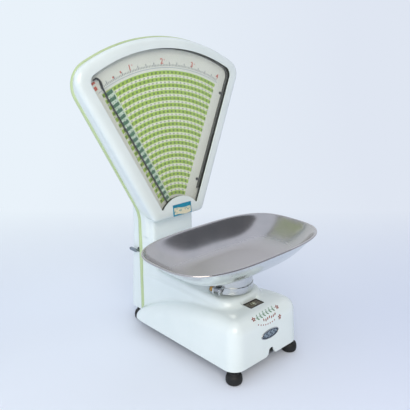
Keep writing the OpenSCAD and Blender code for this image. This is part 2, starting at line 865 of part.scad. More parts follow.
// The rear pointer stands on the outer side of the crank
module rear_pointer() {
    color("#8f1f1f") on_face(rear_pointer_depth + rear_pointer_t) at_zero() linear_extrude(rear_pointer_t)
        polygon([[-crank_half, crank_out], [crank_half, crank_out], [1.5, rear_win_r1 - 14],
            [0, rear_win_r1 - 4], [-1.5, rear_win_r1 - 14]]);
}

sector_half = 4;
module band_sector() {
    color("goldenrod") on_face(sector_depth + sector_half) difference() {
        cylinder(r = sector_r, h = 2 * sector_half);
        translate([0, 0, -1]) cylinder(r = shaft_r, h = 2 * sector_half + 2);
    }
}

pendulum_depth = 72;
bob_half = 9;
arm_hub_r = shaft_r + 4;
arm_hub_t = 6;
arm_rod_w = 6;
arm_rod_t = 4;
module at_bob() {
    rotate([0, 0, -bob_angle]) translate([0, -bob_reach, 0]) children();
}

module pendulum_arm() {
    color("silver") on_face(pendulum_depth + arm_hub_t / 2) difference() {
        union() {
            cylinder(r = arm_hub_r, h = arm_hub_t);
            rotate([0, 0, -bob_angle])
                translate([-arm_rod_w / 2, -bob_reach, (arm_hub_t - arm_rod_t) / 2])
                    cube([arm_rod_w, bob_reach - shaft_r - 1, arm_rod_t]);
        }
        translate([0, 0, -1]) cylinder(r = shaft_r, h = arm_hub_t + 2);
        at_bob() translate([0, 0, -1]) cylinder(r = bob_r, h = arm_hub_t + 2);
    }
}

module pendulum_bob() {
    color("goldenrod") on_face(pendulum_depth + bob_half) at_bob() cylinder(r = bob_r, h = 2 * bob_half);
}

/* The band between the sector and the lever's tail */

band_t = 0.8;
tail_x = sector_r + pass_gap + band_t / 2;
tail_pin_r = 2.5;
hook_hole = tail_pin_r + 2.2;
hook_r = hook_hole + 3.5;
// Length of the band from the sector's middle down the face to the lever's tail
sector_z = pivot_z - sector_depth * sin(lean);
band_len = (sector_z - knife_z) / cos(lean);
band_w = 6;
module pull_band() {
    color("silver") on_face(sector_depth + band_w / 2)
        translate([sector_r + pass_gap, -band_len + hook_r, 0]) cube([band_t, band_len - hook_r, band_w]);
}

hook_half = 1.5;
hook_y = pivot_y + sector_depth * cos(lean) - band_len * sin(lean);
module band_hook() {
    color("dimgray") translate([0, hook_y, knife_z]) difference() {
        disc_x(hook_r, tail_x - hook_half, tail_x + hook_half);
        disc_x(hook_hole, tail_x - 2 * hook_half, tail_x + 2 * hook_half);
    }
}

/* The main lever */

fork_in = 18;
fork_out = 26;
beam_h = 14;
beam_half = 5;
lever_low = knife_z - beam_h / 2;
knife_h = 9;
knife_half = 4;
lever_back = seam_y - 26;
module knife(x0, x1, turn) {
    along_x(x0, x1) rotate([0, 0, turn]) polygon([[0, 0], [knife_half, knife_h], [-knife_half, knife_h]]);
}

fork_end = 9;
pin_end = 5;
knife_out = 11;
fork_h = beam_h + 4;
// The yoke's two legs stand this far from the load knife, and the web lies behind them
leg_gap = 13.5;
leg_t = 5;
web_gap = 13.5;
web_t = 8;
web_y = cup_y + leg_gap + leg_t + web_gap;
module main_lever() {
    color("#6c737a") difference() {
        union() {
            for (s = [-1, 1])
                translate([s > 0 ? fork_in : -fork_out, fulcrum_y - fork_end, lever_low])
                    cube([fork_out - fork_in, web_y + web_t - fulcrum_y + fork_end, fork_h]);
            translate([-fork_out, web_y, lever_low]) cube([2 * fork_out, web_t, beam_h]);
            translate([-beam_half, web_y, lever_low]) cube([2 * beam_half, lever_back - web_y, beam_h]);
            translate([0, hook_y, knife_z]) disc_x(tail_pin_r, 0, tail_x + pin_end);
            translate([0, dash_y, knife_z]) disc_x(tail_pin_r, -dash_x - pin_end, 0);
        }
        translate([0, fulcrum_y, knife_z]) knife(-fork_out - 1, fork_out + 1, 0);
        translate([0, cup_y, knife_z]) knife(-fork_out - 1, fork_out + 1, 180);
    }
}

module fulcrum_knife() {
    color("silver") translate([0, fulcrum_y, knife_z]) knife(-fork_out - knife_out, fork_out + knife_out, 0);
}

module load_knife() {
    color("silver") translate([0, cup_y, knife_z]) knife(-fork_out, fork_out, 180);
}

tare_screw_len = 24;
tare_r = 9;
tare_t = 12;
module tare_weight() {
    color("goldenrod") translate([0, lever_back, knife_z]) rotate([-90, 0, 0]) {
        cylinder(r = tail_pin_r, h = tare_screw_len);
        translate([0, 0, tare_screw_len / 6]) cylinder(r = tare_r, h = tare_t);
    }
}

// Two stands carry the bearing blocks, each on a longer foot
stand_in = fork_out + 3;
stand_out = stand_in + 9;
stand_half = 10;
stand_foot = 16;
stand_top = knife_z - 6;
module fulcrum_stand() {
    color("slategray") difference() {
        for (s = [0, 1]) mirror([s, 0, 0]) translate([stand_in, fulcrum_y, plate_z]) {
            translate([0, -stand_half, 0])
                cube([stand_out - stand_in, 2 * stand_half, stand_top - plate_z]);
            translate([0, -stand_foot, 0]) cube([stand_out - stand_in, 2 * stand_foot, plate_t + 2]);
        }
        translate([0, fulcrum_y, link_z]) disc_x(link_pin_r, -stand_out - 1, stand_out + 1);
    }
}

bearing_half = 8;
bearing_h = 10;
groove_half = 7;
module fulcrum_bearings() {
    color("gainsboro") for (s = [0, 1]) mirror([s, 0, 0]) difference() {
        translate([stand_in, fulcrum_y - bearing_half, stand_top])
            cube([stand_out - stand_in, 2 * bearing_half, bearing_h]);
        translate([0, fulcrum_y, knife_z - pass_gap]) along_x(stand_in - 1, stand_out + 1)
            polygon([[0, 0], [groove_half, bearing_h], [-groove_half, bearing_h]]);
    }
}

link_pin_r = 3;
link_eye_r = 6.5;
link_in = 11;
link_out = 15.5;
link_bar = 8;
module check_pin() {
    color("silver") translate([0, fulcrum_y, link_z]) disc_x(link_pin_r, -stand_out, stand_out);
}

// The link's eye has play, because the cup goes straight down and the link swings
link_play = 0.45;
module check_link() {
    color("#6c737a") difference() {
        union() {
            translate([0, fulcrum_y, link_z]) disc_x(link_eye_r, -link_out, link_out);
            for (s = [0, 1]) mirror([s, 0, 0]) {
                translate([link_in, fulcrum_y, link_z - link_bar / 2])
                    cube([link_out - link_in, arm_load, link_bar]);
                translate([0, cup_y, link_z]) disc_x(link_eye_r, link_in, link_out);
            }
        }
        translate([0, fulcrum_y, link_z]) disc_x(link_pin_r + run_gap, -link_out - 1, link_out + 1);
        translate([0, cup_y, link_z]) disc_x(link_pin_r + link_play, -link_out - 1, link_out + 1);
    }
}

/* The load carrier: yoke, stem and cup */

yoke_half = 9;
yoke_bar = 8;
yoke_low = link_z - 6;
yoke_rise = 26;
yoke_top = knife_z + yoke_rise;
module load_yoke() {
    color("#6c737a") translate([0, cup_y, 0]) {
        for (s = [0, 1]) mirror([0, s, 0]) translate([-yoke_half, leg_gap, yoke_low])
            cube([2 * yoke_half, leg_t, yoke_top - yoke_low]);
        translate([-yoke_half, -leg_gap - leg_t, yoke_top - yoke_bar])
            cube([2 * yoke_half, 2 * (leg_gap + leg_t), yoke_bar]);
        translate([-yoke_half, -leg_gap - leg_t, yoke_low])
            cube([2 * yoke_half, 2 * (leg_gap + leg_t), 2 * (link_z - yoke_low)]);
        translate([0, 0, link_z]) disc_x(link_pin_r, -link_out - 2, link_out + 2);
    }
}

module load_bearing() {
    low = knife_z - bearing_half / 2;
    color("gainsboro") difference() {
        translate([-yoke_half + 1, cup_y - bearing_half, low])
            cube([2 * yoke_half - 2, 2 * bearing_half, yoke_top - yoke_bar - low]);
        translate([0, cup_y, knife_z + pass_gap]) along_x(-yoke_half - 1, yoke_half + 1)
            polygon([[0, 0], [groove_half, -bearing_h], [-groove_half, -bearing_h]]);
    }
}

module load_stem() {
    color("silver") translate([0, cup_y, yoke_top]) cylinder(r = stem_r, h = cup_z - yoke_top);
}

cup_wall = 2.5;
cup_floor = 5;
pan_low = rim_z - pan_depth;
module pan_cup() {
    color("silver") translate([0, cup_y, cup_z]) difference() {
        cylinder(r = cup_r, h = pan_low - cup_z);
        translate([0, 0, cup_floor]) cylinder(r = cup_r - cup_wall, h = pan_low - cup_z);
    }
}

// The band is a clamp: a screw draws its two lugs together at the cup's left
band_wall = 1.8;
clamp_angle = 191;
clamp_gap = 12;
lug_t = 4;
lug_out = cup_r + band_wall + 9.5;
lug_step = 0.5;
screw_r = 2.5;
screw_out = cup_r + band_wall + 5.4;
screw_low = 4.5;
screw_z = cup_z + band_h - screw_low;
module at_clamp() {
    translate([0, cup_y, screw_z]) rotate([0, 0, clamp_angle]) translate([screw_out, 0, 0]) children();
}

module cup_band() {
    color("gainsboro") difference() {
        union() {
            translate([0, cup_y, cup_z]) cylinder(r = cup_r + band_wall, h = band_h);
            translate([0, cup_y, cup_z]) rotate([0, 0, clamp_angle])
                translate([cup_r - band_wall, -clamp_gap / 2 - lug_t, lug_step])
                    cube([lug_out - cup_r + band_wall, clamp_gap + 2 * lug_t, band_h - 2 * lug_step]);
        }
        translate([0, cup_y, cup_z - 1]) cylinder(r = cup_r, h = band_h + 2);
        translate([0, cup_y, cup_z - 1]) rotate([0, 0, clamp_angle])
            translate([0, -clamp_gap / 2, 0]) cube([2 * cup_r, clamp_gap, band_h + 2]);
        at_clamp() rotate([90, 0, 0]) cylinder(r = screw_r, h = big, center = true);
    }
}

nut_t = 6;
nut_r = 6.2;
screw_head_r = 4.4;
clamp_head_t = 3.5;
screw_end = 2;
module clamp_screw() {
    reach = clamp_gap / 2 + lug_t;
    color("silver") at_clamp() rotate([-90, 0, 0]) {
        translate([0, 0, -reach - nut_t - screw_end])
            cylinder(r = screw_r, h = 2 * reach + nut_t + screw_end + 1);
        translate([0, 0, reach]) cylinder(r = screw_head_r, h = clamp_head_t);
    }
}

module clamp_nut() {
    color("goldenrod") at_clamp() rotate([90, 0, 0])
        translate([0, 0, clamp_gap / 2 + lug_t]) difference() {
            cylinder(r = nut_r, h = nut_t, $fn = 6);
            translate([0, 0, -1]) cylinder(r = screw_r, h = nut_t + 2);
        }
}

/* The pan */

// Points of one ring of the pan: a rounded oblong of half sizes a and b
pan_n = 64;
pan_power = 3.15;
function oblong(a, b, z) = [for (k = [0:pan_n - 1])
    let (c = cos(360 * k / pan_n), s = sin(360 * k / pan_n))
    [sign(c) * a * pow(abs(c), 2 / pan_power), sign(s) * b * pow(abs(s), 2 / pan_power), z]];

// The bowl's height at a share q of its size, flat in the middle
function bowl(q, depth) = q <= pan_flat ? -depth : -depth * (1 - pow((q - pan_flat) / (1 - pan_flat), 2.1));
rim_r = 2.4;
shares = [for (q = [0, 0.16, 0.3, 0.42, 0.54, 0.66, 0.76, 0.86, 0.94, 1]) pan_flat + (1 - pan_flat) * q];
module pan() {
    a = pan_w / 2 - rim_r;
    b = pan_d / 2 - rim_r;
    last = len(shares) - 1;
    outer = [for (q = shares)
        oblong(a * q, b * q, rim_z + bowl(q, pan_depth) - (q == 1 ? 2 * rim_r : 0))];
    lip = [oblong(a + rim_r * 0.7, b + rim_r * 0.7, rim_z - 2 * rim_r),
        oblong(a + rim_r, b + rim_r, rim_z - rim_r),
        oblong(a + rim_r * 0.7, b + rim_r * 0.7, rim_z - rim_r * 0.3),
        oblong(a, b, rim_z)];
    inner = [for (i = [last:-1:0]) let (q = shares[i])
        oblong(a * q - pan_t, b * q - pan_t,
            rim_z + bowl(q, pan_depth) + (i == last ? -pan_t : pan_t))];
    color("silver") translate([0, pan_y, 0]) loft(concat(outer, lip, inner));
}

boss_h = 6;
boss_wall = 3;
module pan_boss() {
    color("silver") translate([0, cup_y, pan_low - boss_h]) difference() {
        cylinder(r = cup_r - cup_wall - pass_gap, h = boss_h);
        translate([0, 0, -1]) cylinder(r = cup_r - cup_wall - pass_gap - boss_wall, h = boss_h + 2);
    }
}

/* The dashpot */

piston_travel = pan_travel * (fulcrum_reach - dash_reach) / arm_load;
eye_r = 7;
dash_wall = 2.5;
dash_cap = 3;
piston_h = 5;
piston_gap = 0.7;
rod_gap = 2.5;
eye_half = 3;
eye_play = 0.8;
dash_top = knife_z - eye_r - piston_travel - 1.2;
piston_z = plate_z + dash_cap + piston_travel + 1;
module dashpot_cylinder() {
    color("#8d949a") translate([-dash_x, dash_y, 0]) difference() {
        translate([0, 0, plate_z]) cylinder(r = dash_r, h = dash_top - plate_z);
        translate([0, 0, plate_z + dash_cap])
            cylinder(r = dash_r - dash_wall, h = dash_top - plate_z - 2 * dash_cap);
        translate([0, 0, plate_z + dash_cap]) cylinder(r = piston_rod_r + rod_gap, h = dash_top);
    }
}

piston_rod_r = 2.5;
module dashpot_piston() {
    color("silver") translate([-dash_x, dash_y, 0]) {
        translate([0, 0, piston_z]) cylinder(r = dash_r - dash_wall - piston_gap, h = piston_h);
        translate([0, 0, piston_z]) cylinder(r = piston_rod_r, h = knife_z - eye_r + 2 - piston_z);
        translate([0, 0, knife_z]) difference() {
            disc_x(eye_r, -eye_half, eye_half);
            disc_x(tail_pin_r + eye_play, -eye_half - 1, eye_half + 1);
        }
    }
}

/* The lock */

lock_shaft_r = 3;
lock_bush_r = 6;
lock_y = seam_y + lock_back;
lock_out = pillar_half + bead_rise + 2.5;
finger_len = 14;
finger_left = -5;
finger_w = 8;
finger_h = 4;
finger_hub_r = lock_shaft_r + 2.5;
lock_bar_t = 4.5;
lock_bush_len = wall + 8;
module lock_bush() {
    color("dimgray") translate([0, lock_y, lock_z]) difference() {
        disc_x(lock_bush_r, -pillar_half, -pillar_half + lock_bush_len);
        disc_x(lock_shaft_r + run_gap, -pillar_half - 1, -pillar_half + lock_bush_len + 1);
    }
}

module lock_lever() {
    color("#7d868c") translate([0, lock_y, lock_z]) {
        disc_x(lock_shaft_r, -lock_out, finger_left + finger_w + 1);
        translate([-lock_out - lock_bar_t, 0, -lock_bar / 2]) cube([lock_bar_t, lock_len, lock_bar]);
        disc_x(lock_bar / 2, -lock_out - lock_bar_t, -lock_out);
        translate([0, lock_len, 0]) disc_x(lock_bar / 2, -lock_out - lock_bar_t, -lock_out);
    }
}

module lock_finger() {
    color("#5a4632") translate([0, lock_y, lock_z]) difference() {
        union() {
            disc_x(finger_hub_r, finger_left - 1, finger_left + finger_w + 1);
            rotate([lock_turn, 0, 0]) translate([finger_left, -finger_len, -finger_h / 2])
                cube([finger_w, finger_len - lock_shaft_r, finger_h]);
        }
        disc_x(lock_shaft_r, finger_left - 2, finger_left + finger_w + 2);
    }
}

/* Plates, level and feet */

vial_r = 8.5;
vial_h = 8;
level_rim = 3;
level_lip = 0.6;
level_floor = 6;
level_low = deck_z - wall - level_floor;
module level_frame() {
    color("#1d1f1e") translate([0, level_y, level_low]) difference() {
        translate([-level_w / 2, -level_d / 2, 0])
            cube([level_w, level_d, deck_z + level_lip - level_low]);
        translate([-level_w / 2 + level_rim, -level_d / 2 + level_rim, level_floor])
            cube([level_w - 2 * level_rim, level_d - 2 * level_rim, 2 * wall]);
        translate([0, 0, -1]) cylinder(r = vial_r, h = 2 * level_floor);
    }
}

module level_vial() {
    color("#9fb08a") translate([0, level_y, level_low]) cylinder(r = vial_r, h = vial_h);
}

badge_z = 81;
badge_a = 28;
badge_b = 12;
badge_t = 1.5;
badge_n = 48;
module badge_plate() {
    y0 = base_front + (badge_z - foot_h) * tan(draft);
    color("#3b4752") translate([0, y0, badge_z]) rotate([90 - draft, 0, 0]) linear_extrude(badge_t)
        polygon([for (k = [0:badge_n - 1])
            [badge_a * cos(360 * k / badge_n), badge_b * sin(360 * k / badge_n)]]);
}

chin_plate_w = 46;
chin_plate_h = 24;
chin_plate_low = 22;
chin_plate_t = 1;
module chin_plate() {
    color("#2f8fae") on_face(0) translate([-chin_plate_w / 2, chin_plate_low, 0])
        cube([chin_plate_w, chin_plate_h, chin_plate_t]);
}

module foot_place(side, rear) {
    translate([side * (rear ? rear_foot_x : base_half - foot_in),
        rear ? seam_y + rear_foot_back : base_front + foot_in, 0]) children();
}

foot_edge = 2.5;
stud_in = 8;
stud_up = 6;
module foot_pad() {
    color("#151515") difference() {
        rotate_extrude() polygon([[0, 0], [foot_r - foot_edge, 0], [foot_r, foot_edge],
            [foot_r, foot_pad_h - 3 * foot_edge], [foot_r - foot_edge, foot_pad_h - foot_edge],
            [foot_r - 2 * foot_edge, foot_pad_h], [0, foot_pad_h]]);
        translate([0, 0, foot_pad_h - stud_in]) cylinder(r = stud_r, h = stud_in + 1);
    }
}

module foot_stud() {
    color("silver") translate([0, 0, foot_pad_h - stud_in])
        cylinder(r = stud_r, h = plate_z + foot_boss_h + stud_up - foot_pad_h + stud_in);
}

base_casing();
head_casing();
rear_cover();
seam_bead();
base_plate();
fulcrum_stand();
fulcrum_bearings();
check_pin();
upright_post();
movement_frame();
shaft_bushes();
chart_support();
chart_plate();
chart_screws();
window_gasket();
window_glass();
rear_chart();
rear_glass();
dashpot_cylinder();
level_frame();
level_vial();
badge_plate();
chin_plate();
cover_screws();
lock_bush();
pan();
pan_boss();
pan_cup();
cup_band();
clamp_screw();
clamp_nut();
load_stem();
load_yoke();
load_bearing();
main_lever();
fulcrum_knife();
load_knife();
tare_weight();
check_link();
pull_band();
band_hook();
dashpot_piston();
pointer_shaft();
pointer_arm();
price_strip();
band_sector();
pendulum_arm();
pendulum_bob();
rear_pointer();
lock_lever();
lock_finger();
foot_place(-1, false) foot_pad();  // foot_pad_front_left
foot_place(1, false) foot_pad();  // foot_pad_front_right
foot_place(-1, true) foot_pad();  // foot_pad_rear_left
foot_place(1, true) foot_pad();  // foot_pad_rear_right
foot_place(-1, false) foot_stud();  // foot_stud_front_left
foot_place(1, false) foot_stud();  // foot_stud_front_right
foot_place(-1, true) foot_stud();  // foot_stud_rear_left
foot_place(1, true) foot_stud();  // foot_stud_rear_right
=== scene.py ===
# %% [markdown]
# # A counter fan scale, dressed for a photograph
# The CAD part already has every piece of the scale in its place: casings, lever work, pointer, pan and
# feet. This lesson loads it as a fixed frame and gives it the shapes and finishes that a camera sees.
# Everything is in metres, with x to the right, y to the rear and z up from the counter.

# %% Load the frame
import math

import bmesh
import bpy
from mathutils import Matrix, Vector


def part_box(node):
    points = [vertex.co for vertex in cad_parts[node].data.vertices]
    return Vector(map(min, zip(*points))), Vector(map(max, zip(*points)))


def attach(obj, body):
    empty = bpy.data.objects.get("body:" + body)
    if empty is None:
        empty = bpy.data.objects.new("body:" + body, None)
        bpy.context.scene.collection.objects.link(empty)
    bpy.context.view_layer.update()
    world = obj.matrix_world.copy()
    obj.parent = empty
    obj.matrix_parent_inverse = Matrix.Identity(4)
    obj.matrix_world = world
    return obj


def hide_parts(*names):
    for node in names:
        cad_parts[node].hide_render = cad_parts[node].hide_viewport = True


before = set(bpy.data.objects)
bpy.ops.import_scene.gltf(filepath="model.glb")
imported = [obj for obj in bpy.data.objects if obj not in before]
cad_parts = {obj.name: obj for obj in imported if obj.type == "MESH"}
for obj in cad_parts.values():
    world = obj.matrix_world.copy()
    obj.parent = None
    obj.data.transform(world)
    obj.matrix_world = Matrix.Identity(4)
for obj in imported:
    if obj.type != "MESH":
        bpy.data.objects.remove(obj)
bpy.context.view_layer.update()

# %% [markdown]

# %% [markdown]
# A maker's drawing is in millimetres, so the sizes below are too, and one function turns a point into
# Blender's metres. The chart leans back by seven degrees about the pointer's pivot. A second function
# places a point on that leaning face: u to the right, v up the face, and the depth behind it.

# %% Sizes and places of the scale
MM = 0.001
SEAM = 150.5          # the plane where front casing and rear cover meet
FRONT = SEAM - 342    # front of the base
FOOT = 29.7           # bottom edge of the casing above the counter
DECK = 131.0          # top of the base
PIVOT = (0.0, SEAM - 71.5, 257.0)
LEAN = math.radians(7)
CUP_Y = SEAM - 229    # axis of the pan's cup
JOINT_Z = 245.0       # where base casing and head casing meet
UNIT = 13.97          # degrees of the chart for one unit of weight
TRIM_Z, TRIM_Y = 16.0, SEAM + 8   # rough solids reach down and back to here, and are trimmed later


def at(x, y, z):
    return Vector((x * MM, y * MM, z * MM))


def on_face(u, v, depth):
    return at(u, PIVOT[1] + v * math.sin(LEAN) + depth * math.cos(LEAN),
              PIVOT[2] + v * math.cos(LEAN) - depth * math.sin(LEAN))


print("top of the chart", on_face(0, 392, 18))

# %% [markdown]
# Nearly all shapes of this scale are outlines that run along a depth, so the main helper is a loft. It
# starts from a circle primitive, puts its points on the first outline, and then extrudes the edge loop
# from outline to outline, as one does by hand. Each vertex carries its number in the outline, which the
# extrude copies, so the new loop can be put in place point by point. The other helpers pick, join, cut,
# trim and smooth pieces, and make the plain blocks and rods that cut the openings.

# %% Loft helper
def bare_selection():
    if bpy.context.object and bpy.context.object.mode != "OBJECT":
        bpy.ops.object.mode_set(mode="OBJECT")
    bpy.ops.object.select_all(action="DESELECT")


def pick(piece):
    bare_selection()
    piece.select_set(True)
    bpy.context.view_layer.objects.active = piece
    return piece


def loft(name, rings, back_to_start=False):
    """A closed solid through rings of points, with capped ends or joined back to its first ring."""
    bare_selection()
    bpy.ops.mesh.primitive_circle_add(vertices=len(rings[0]), radius=0.1)
    piece = bpy.context.object
    piece.name = piece.data.name = name
    bpy.ops.object.mode_set(mode="EDIT")
    shape = bmesh.from_edit_mesh(piece.data)
    number = shape.verts.layers.int.new("number")
    shape.verts.ensure_lookup_table()
    for k, vert in enumerate(shape.verts):
        vert[number] = k
        vert.co = rings[0][k]
    bpy.ops.mesh.select_all(action="SELECT")
    for ring in rings[1:]:
        bpy.ops.mesh.extrude_edges_indiv()
        shape = bmesh.from_edit_mesh(piece.data)
        number = shape.verts.layers.int["number"]
        for vert in shape.verts:
            if vert.select:
                vert.co = ring[vert[number]]
    if back_to_start:
        for edge in shape.edges:
            edge.select = edge.is_boundary
        bmesh.update_edit_mesh(piece.data)
        bpy.ops.mesh.bridge_edge_loops()
    else:
        bpy.ops.mesh.edge_face_add()
        shape = bmesh.from_edit_mesh(piece.data)
        for vert in shape.verts:
            vert.select = False
        shape.select_flush(False)
        for edge in shape.edges:
            if edge.is_boundary:
                edge.select = True
        bmesh.update_edit_mesh(piece.data)
        bpy.ops.mesh.edge_face_add()
    bpy.ops.mesh.select_all(action="SELECT")
    bpy.ops.mesh.normals_make_consistent(inside=False)
    bpy.ops.object.mode_set(mode="OBJECT")
    return piece


def apply_modifier(piece, kind, **settings):
    pick(piece)
    modifier = piece.modifiers.new(kind.title(), kind)
    for key, value in settings.items():
        setattr(modifier, key, value)
    bpy.ops.object.modifier_apply(modifier=modifier.name)
    return piece


def join(name, pieces):
    pick(pieces[0])
    for other in pieces[1:]:
        other.select_set(True)
    bpy.ops.object.join()
    pieces[0].name = pieces[0].data.name = name
    return pieces[0]


def smooth(piece, degrees=35):
    pick(piece)
    bpy.ops.object.shade_smooth_by_angle(angle=math.radians(degrees))
    return piece


def cut(piece, cutter):
    apply_modifier(piece, "BOOLEAN", object=cutter, operation="DIFFERENCE", solver="EXACT")
    bpy.data.objects.remove(cutter)
    return piece


def trim(piece, point, away):
    """Takes off all that lies past a point in the direction away."""
    pick(piece)
    bpy.ops.object.mode_set(mode="EDIT")
    bpy.ops.mesh.select_all(action="SELECT")
    bpy.ops.mesh.bisect(plane_co=point, plane_no=away, clear_outer=True)
    bpy.ops.object.mode_set(mode="OBJECT")
    return piece


def settle(piece):
    """Puts the place, turn and size of an object into its mesh."""
    pick(piece)
    bpy.ops.object.transform_apply(location=True, rotation=True, scale=True)
    return piece


def block(middle, size, turn=0.0):
    bare_selection()
    bpy.ops.mesh.primitive_cube_add(size=1, location=middle, rotation=(0, 0, turn))
    bpy.context.object.scale = [side * MM for side in size]
    return settle(bpy.context.object)


def rod(middle, radius, length, sides, tilt=0.0):
    bare_selection()
    bpy.ops.mesh.primitive_cylinder_add(vertices=sides, radius=radius * MM, depth=length * MM,
                                        location=middle, rotation=(0, tilt, 0))
    return settle(bpy.context.object)


def copy_of(piece, name):
    twin = piece.copy()
    twin.data = piece.data.copy()
    twin.name = twin.data.name = name
    bpy.context.collection.objects.link(twin)
    return twin


print("helpers ready: loft, join, cut, trim, smooth, block, rod")

# %% [markdown]
# The fan is the shape that everyone remembers: two sides that lean out, a top that is an arc about the
# pivot, and rounded corners between them. One function draws it for the bezel, the seam and the window,
# because a corner arc that touches a leaning line and a circle is the same sum each time.

# %% Fan outlines
CORNER_STEPS, TOP_STEPS = 10, 24
SEAM_HALF, SEAM_ANGLE, SEAM_R, SEAM_CORNER = 55.7, 28.43, 410.9, 50.0
FAN_LOW, LOW_CORNER = 15.0, 13.0      # lower end of the fan above the pivot, and its corner
PILLAR_HALF, KNEE_R = 67.6, 90.0


def arc(radius, start, end, steps, centre=(0.0, 0.0), skip=0):
    turn = [math.radians(start + (end - start) * k / steps) for k in range(skip, steps + 1)]
    return [(centre[0] + radius * math.cos(t), centre[1] + radius * math.sin(t)) for t in turn]


def corner_middle(half, angle, radius, corner):
    """The middle of a corner arc that touches the leaning side and the top arc from inside."""
    t = math.tan(math.radians(angle))
    k = half - corner / math.cos(math.radians(angle))
    a, b, c = 1 + t * t, 2 * k * t, k * k - (radius - corner) ** 2
    v = (-b + math.sqrt(b * b - 4 * a * c)) / (2 * a)
    return (k + v * t, v)


def fan_top(half, angle, radius, corner):
    middle = corner_middle(half, angle, radius, corner)
    meet = math.degrees(math.atan2(middle[1], middle[0]))
    return arc(corner, -angle, meet, CORNER_STEPS, middle) + arc(radius, meet, 90, TOP_STEPS, skip=1)


def mirrored(points):
    return points + [(-x, v) for x, v in reversed(points[:-1])]


def fan(half, angle, radius, corner, low, low_corner):
    t, cos = math.tan(math.radians(angle)), math.cos(math.radians(angle))
    middle = (half + (low + low_corner) * t - low_corner / cos, low + low_corner)
    return mirrored(arc(low_corner, -90, -angle, 6, middle) + fan_top(half, angle, radius, corner))


def seam_fan(inset):
    cos = math.cos(math.radians(SEAM_ANGLE))
    return fan(SEAM_HALF - inset / cos, SEAM_ANGLE, SEAM_R - inset, SEAM_CORNER - inset, FAN_LOW, LOW_CORNER)


def seam_line(grow, low_z):
    """The seam's outline from low_z up one side of the pillar, round the fan and down again."""
    t = math.tan(math.radians(SEAM_ANGLE))
    bend = (PILLAR_HALF - SEAM_HALF) / t
    start = bend - KNEE_R * math.tan(math.radians(SEAM_ANGLE / 2))
    knee = arc(KNEE_R - grow, 180, 180 - SEAM_ANGLE, CORNER_STEPS, (PILLAR_HALF + KNEE_R, start))
    cos = math.cos(math.radians(SEAM_ANGLE))
    top = fan_top(SEAM_HALF + grow / cos, SEAM_ANGLE, SEAM_R + grow, SEAM_CORNER + grow)
    return mirrored([(PILLAR_HALF + grow, low_z - PIVOT[2])] + knee + top)


def upright(points, y):
    return [at(x, y, PIVOT[2] + z) for x, z in points]


print("seam outline points", len(seam_line(0, 30)))

# %% [markdown]
# The front casing is pressed and welded steel under a thick white enamel, and the enamel softens every
# corner where two pressings meet. Built by hand, those soft meetings would be long work. So each form
# is made as a closed solid that runs into its neighbours, the solids are remeshed into one skin, and
# smoothing gives the round, glazed look of the joints. The skirt comes first. It is lofted from front
# to back: its top is level and then falls in a long arc, and its shoulders grow rounder as it falls.

# %% The skirt
BASE_HALF, DRAFT = 105.0, math.tan(math.radians(3))
FRONT_R, REAR_R = 28.0, 33.0                 # round of the front edge, and of the rear corners
DROP_Y, DROP_R = SEAM - 294, 517.0           # where the top begins to fall, and its arc
SHOULDER_R, SHOULDER_RUN = 37.0, 70.0        # the shoulders' round at the rear, and the way it grows
LEAN_RUN = 60.0                              # how far back the front's lean fades out


def skirt_top(y):
    return DECK if y <= DROP_Y else DECK - DROP_R + math.sqrt(DROP_R ** 2 - (y - DROP_Y) ** 2)


def skirt_ring(y, low):
    ahead = y - FRONT
    ball = FRONT_R if ahead >= FRONT_R else math.sqrt(max(0.0, FRONT_R ** 2 - (FRONT_R - ahead) ** 2))
    rear = SEAM - y
    rear_in = 0.0 if rear >= REAR_R else REAR_R - math.sqrt(max(0.0, REAR_R ** 2 - (REAR_R - rear) ** 2))
    half = BASE_HALF - (FRONT_R - ball) - rear_in
    top = skirt_top(y) - (FRONT_R - ball)
    grow = min(1.0, max(0.0, (y - DROP_Y) / SHOULDER_RUN))
    across = max(1.5, ball + (SHOULDER_R - FRONT_R) * grow)
    down = min(across, top - FOOT - 2)
    lean_back = max(0.0, 1 - ahead / LEAN_RUN) * DRAFT
    side_z = top - down
    mid = half - (side_z - FOOT) * DRAFT - across
    right = [(half + (FOOT - low) * DRAFT, low), (half, FOOT),
             (half - (side_z - FOOT) * DRAFT / 2, (side_z + FOOT) / 2)]
    right += [(mid + across * math.cos(math.radians(a)), side_z + down * math.sin(math.radians(a)))
              for a in range(0, 91, 9)]
    left = [(-x, z) for x, z in reversed(right)]
    return [at(x, y + (z - FOOT) * lean_back, z) for x, z in right + left]


stations = [FRONT + FRONT_R * (1 - math.cos(math.radians(a))) for a in range(0, 91, 9)]
stations += [FRONT + 38, DROP_Y] + [DROP_Y + k * 21 for k in range(1, 13)]
stations += [SEAM - REAR_R * (1 - math.sin(math.radians(a))) for a in (15, 30, 45, 60, 75, 88)]
skirt = loft("skirt", [skirt_ring(y, TRIM_Z) for y in stations])
print("skirt", len(skirt.data.vertices), "points")

# %% [markdown]
# The hump is the square middle part of the base, level with the deck, that carries the pillar. The
# tongue is a low raised table on it, with a round nose under the pan's cup. Its foot is a soft hollow
# and its top edge is round, so its outline shrinks as it rises, faster at the nose than at the sides.

# %% Hump and tongue
HUMP_FRONT, HUMP_EDGE, TONGUE_Z = SEAM - 253.5, 1.5, 146.4
NOSE_BACK, TONGUE_END, NOSE_POWER = SEAM - 241.5, SEAM - 23.5, 2.5
hump_outline = [(-PILLAR_HALF, TRIM_Z), (PILLAR_HALF, TRIM_Z), (PILLAR_HALF, DECK - HUMP_EDGE),
                (PILLAR_HALF - HUMP_EDGE, DECK), (HUMP_EDGE - PILLAR_HALF, DECK),
                (-PILLAR_HALF, DECK - HUMP_EDGE)]
hump = loft("hump", [[at(x, y, z) for x, z in hump_outline] for y in (HUMP_FRONT, TRIM_Y)])


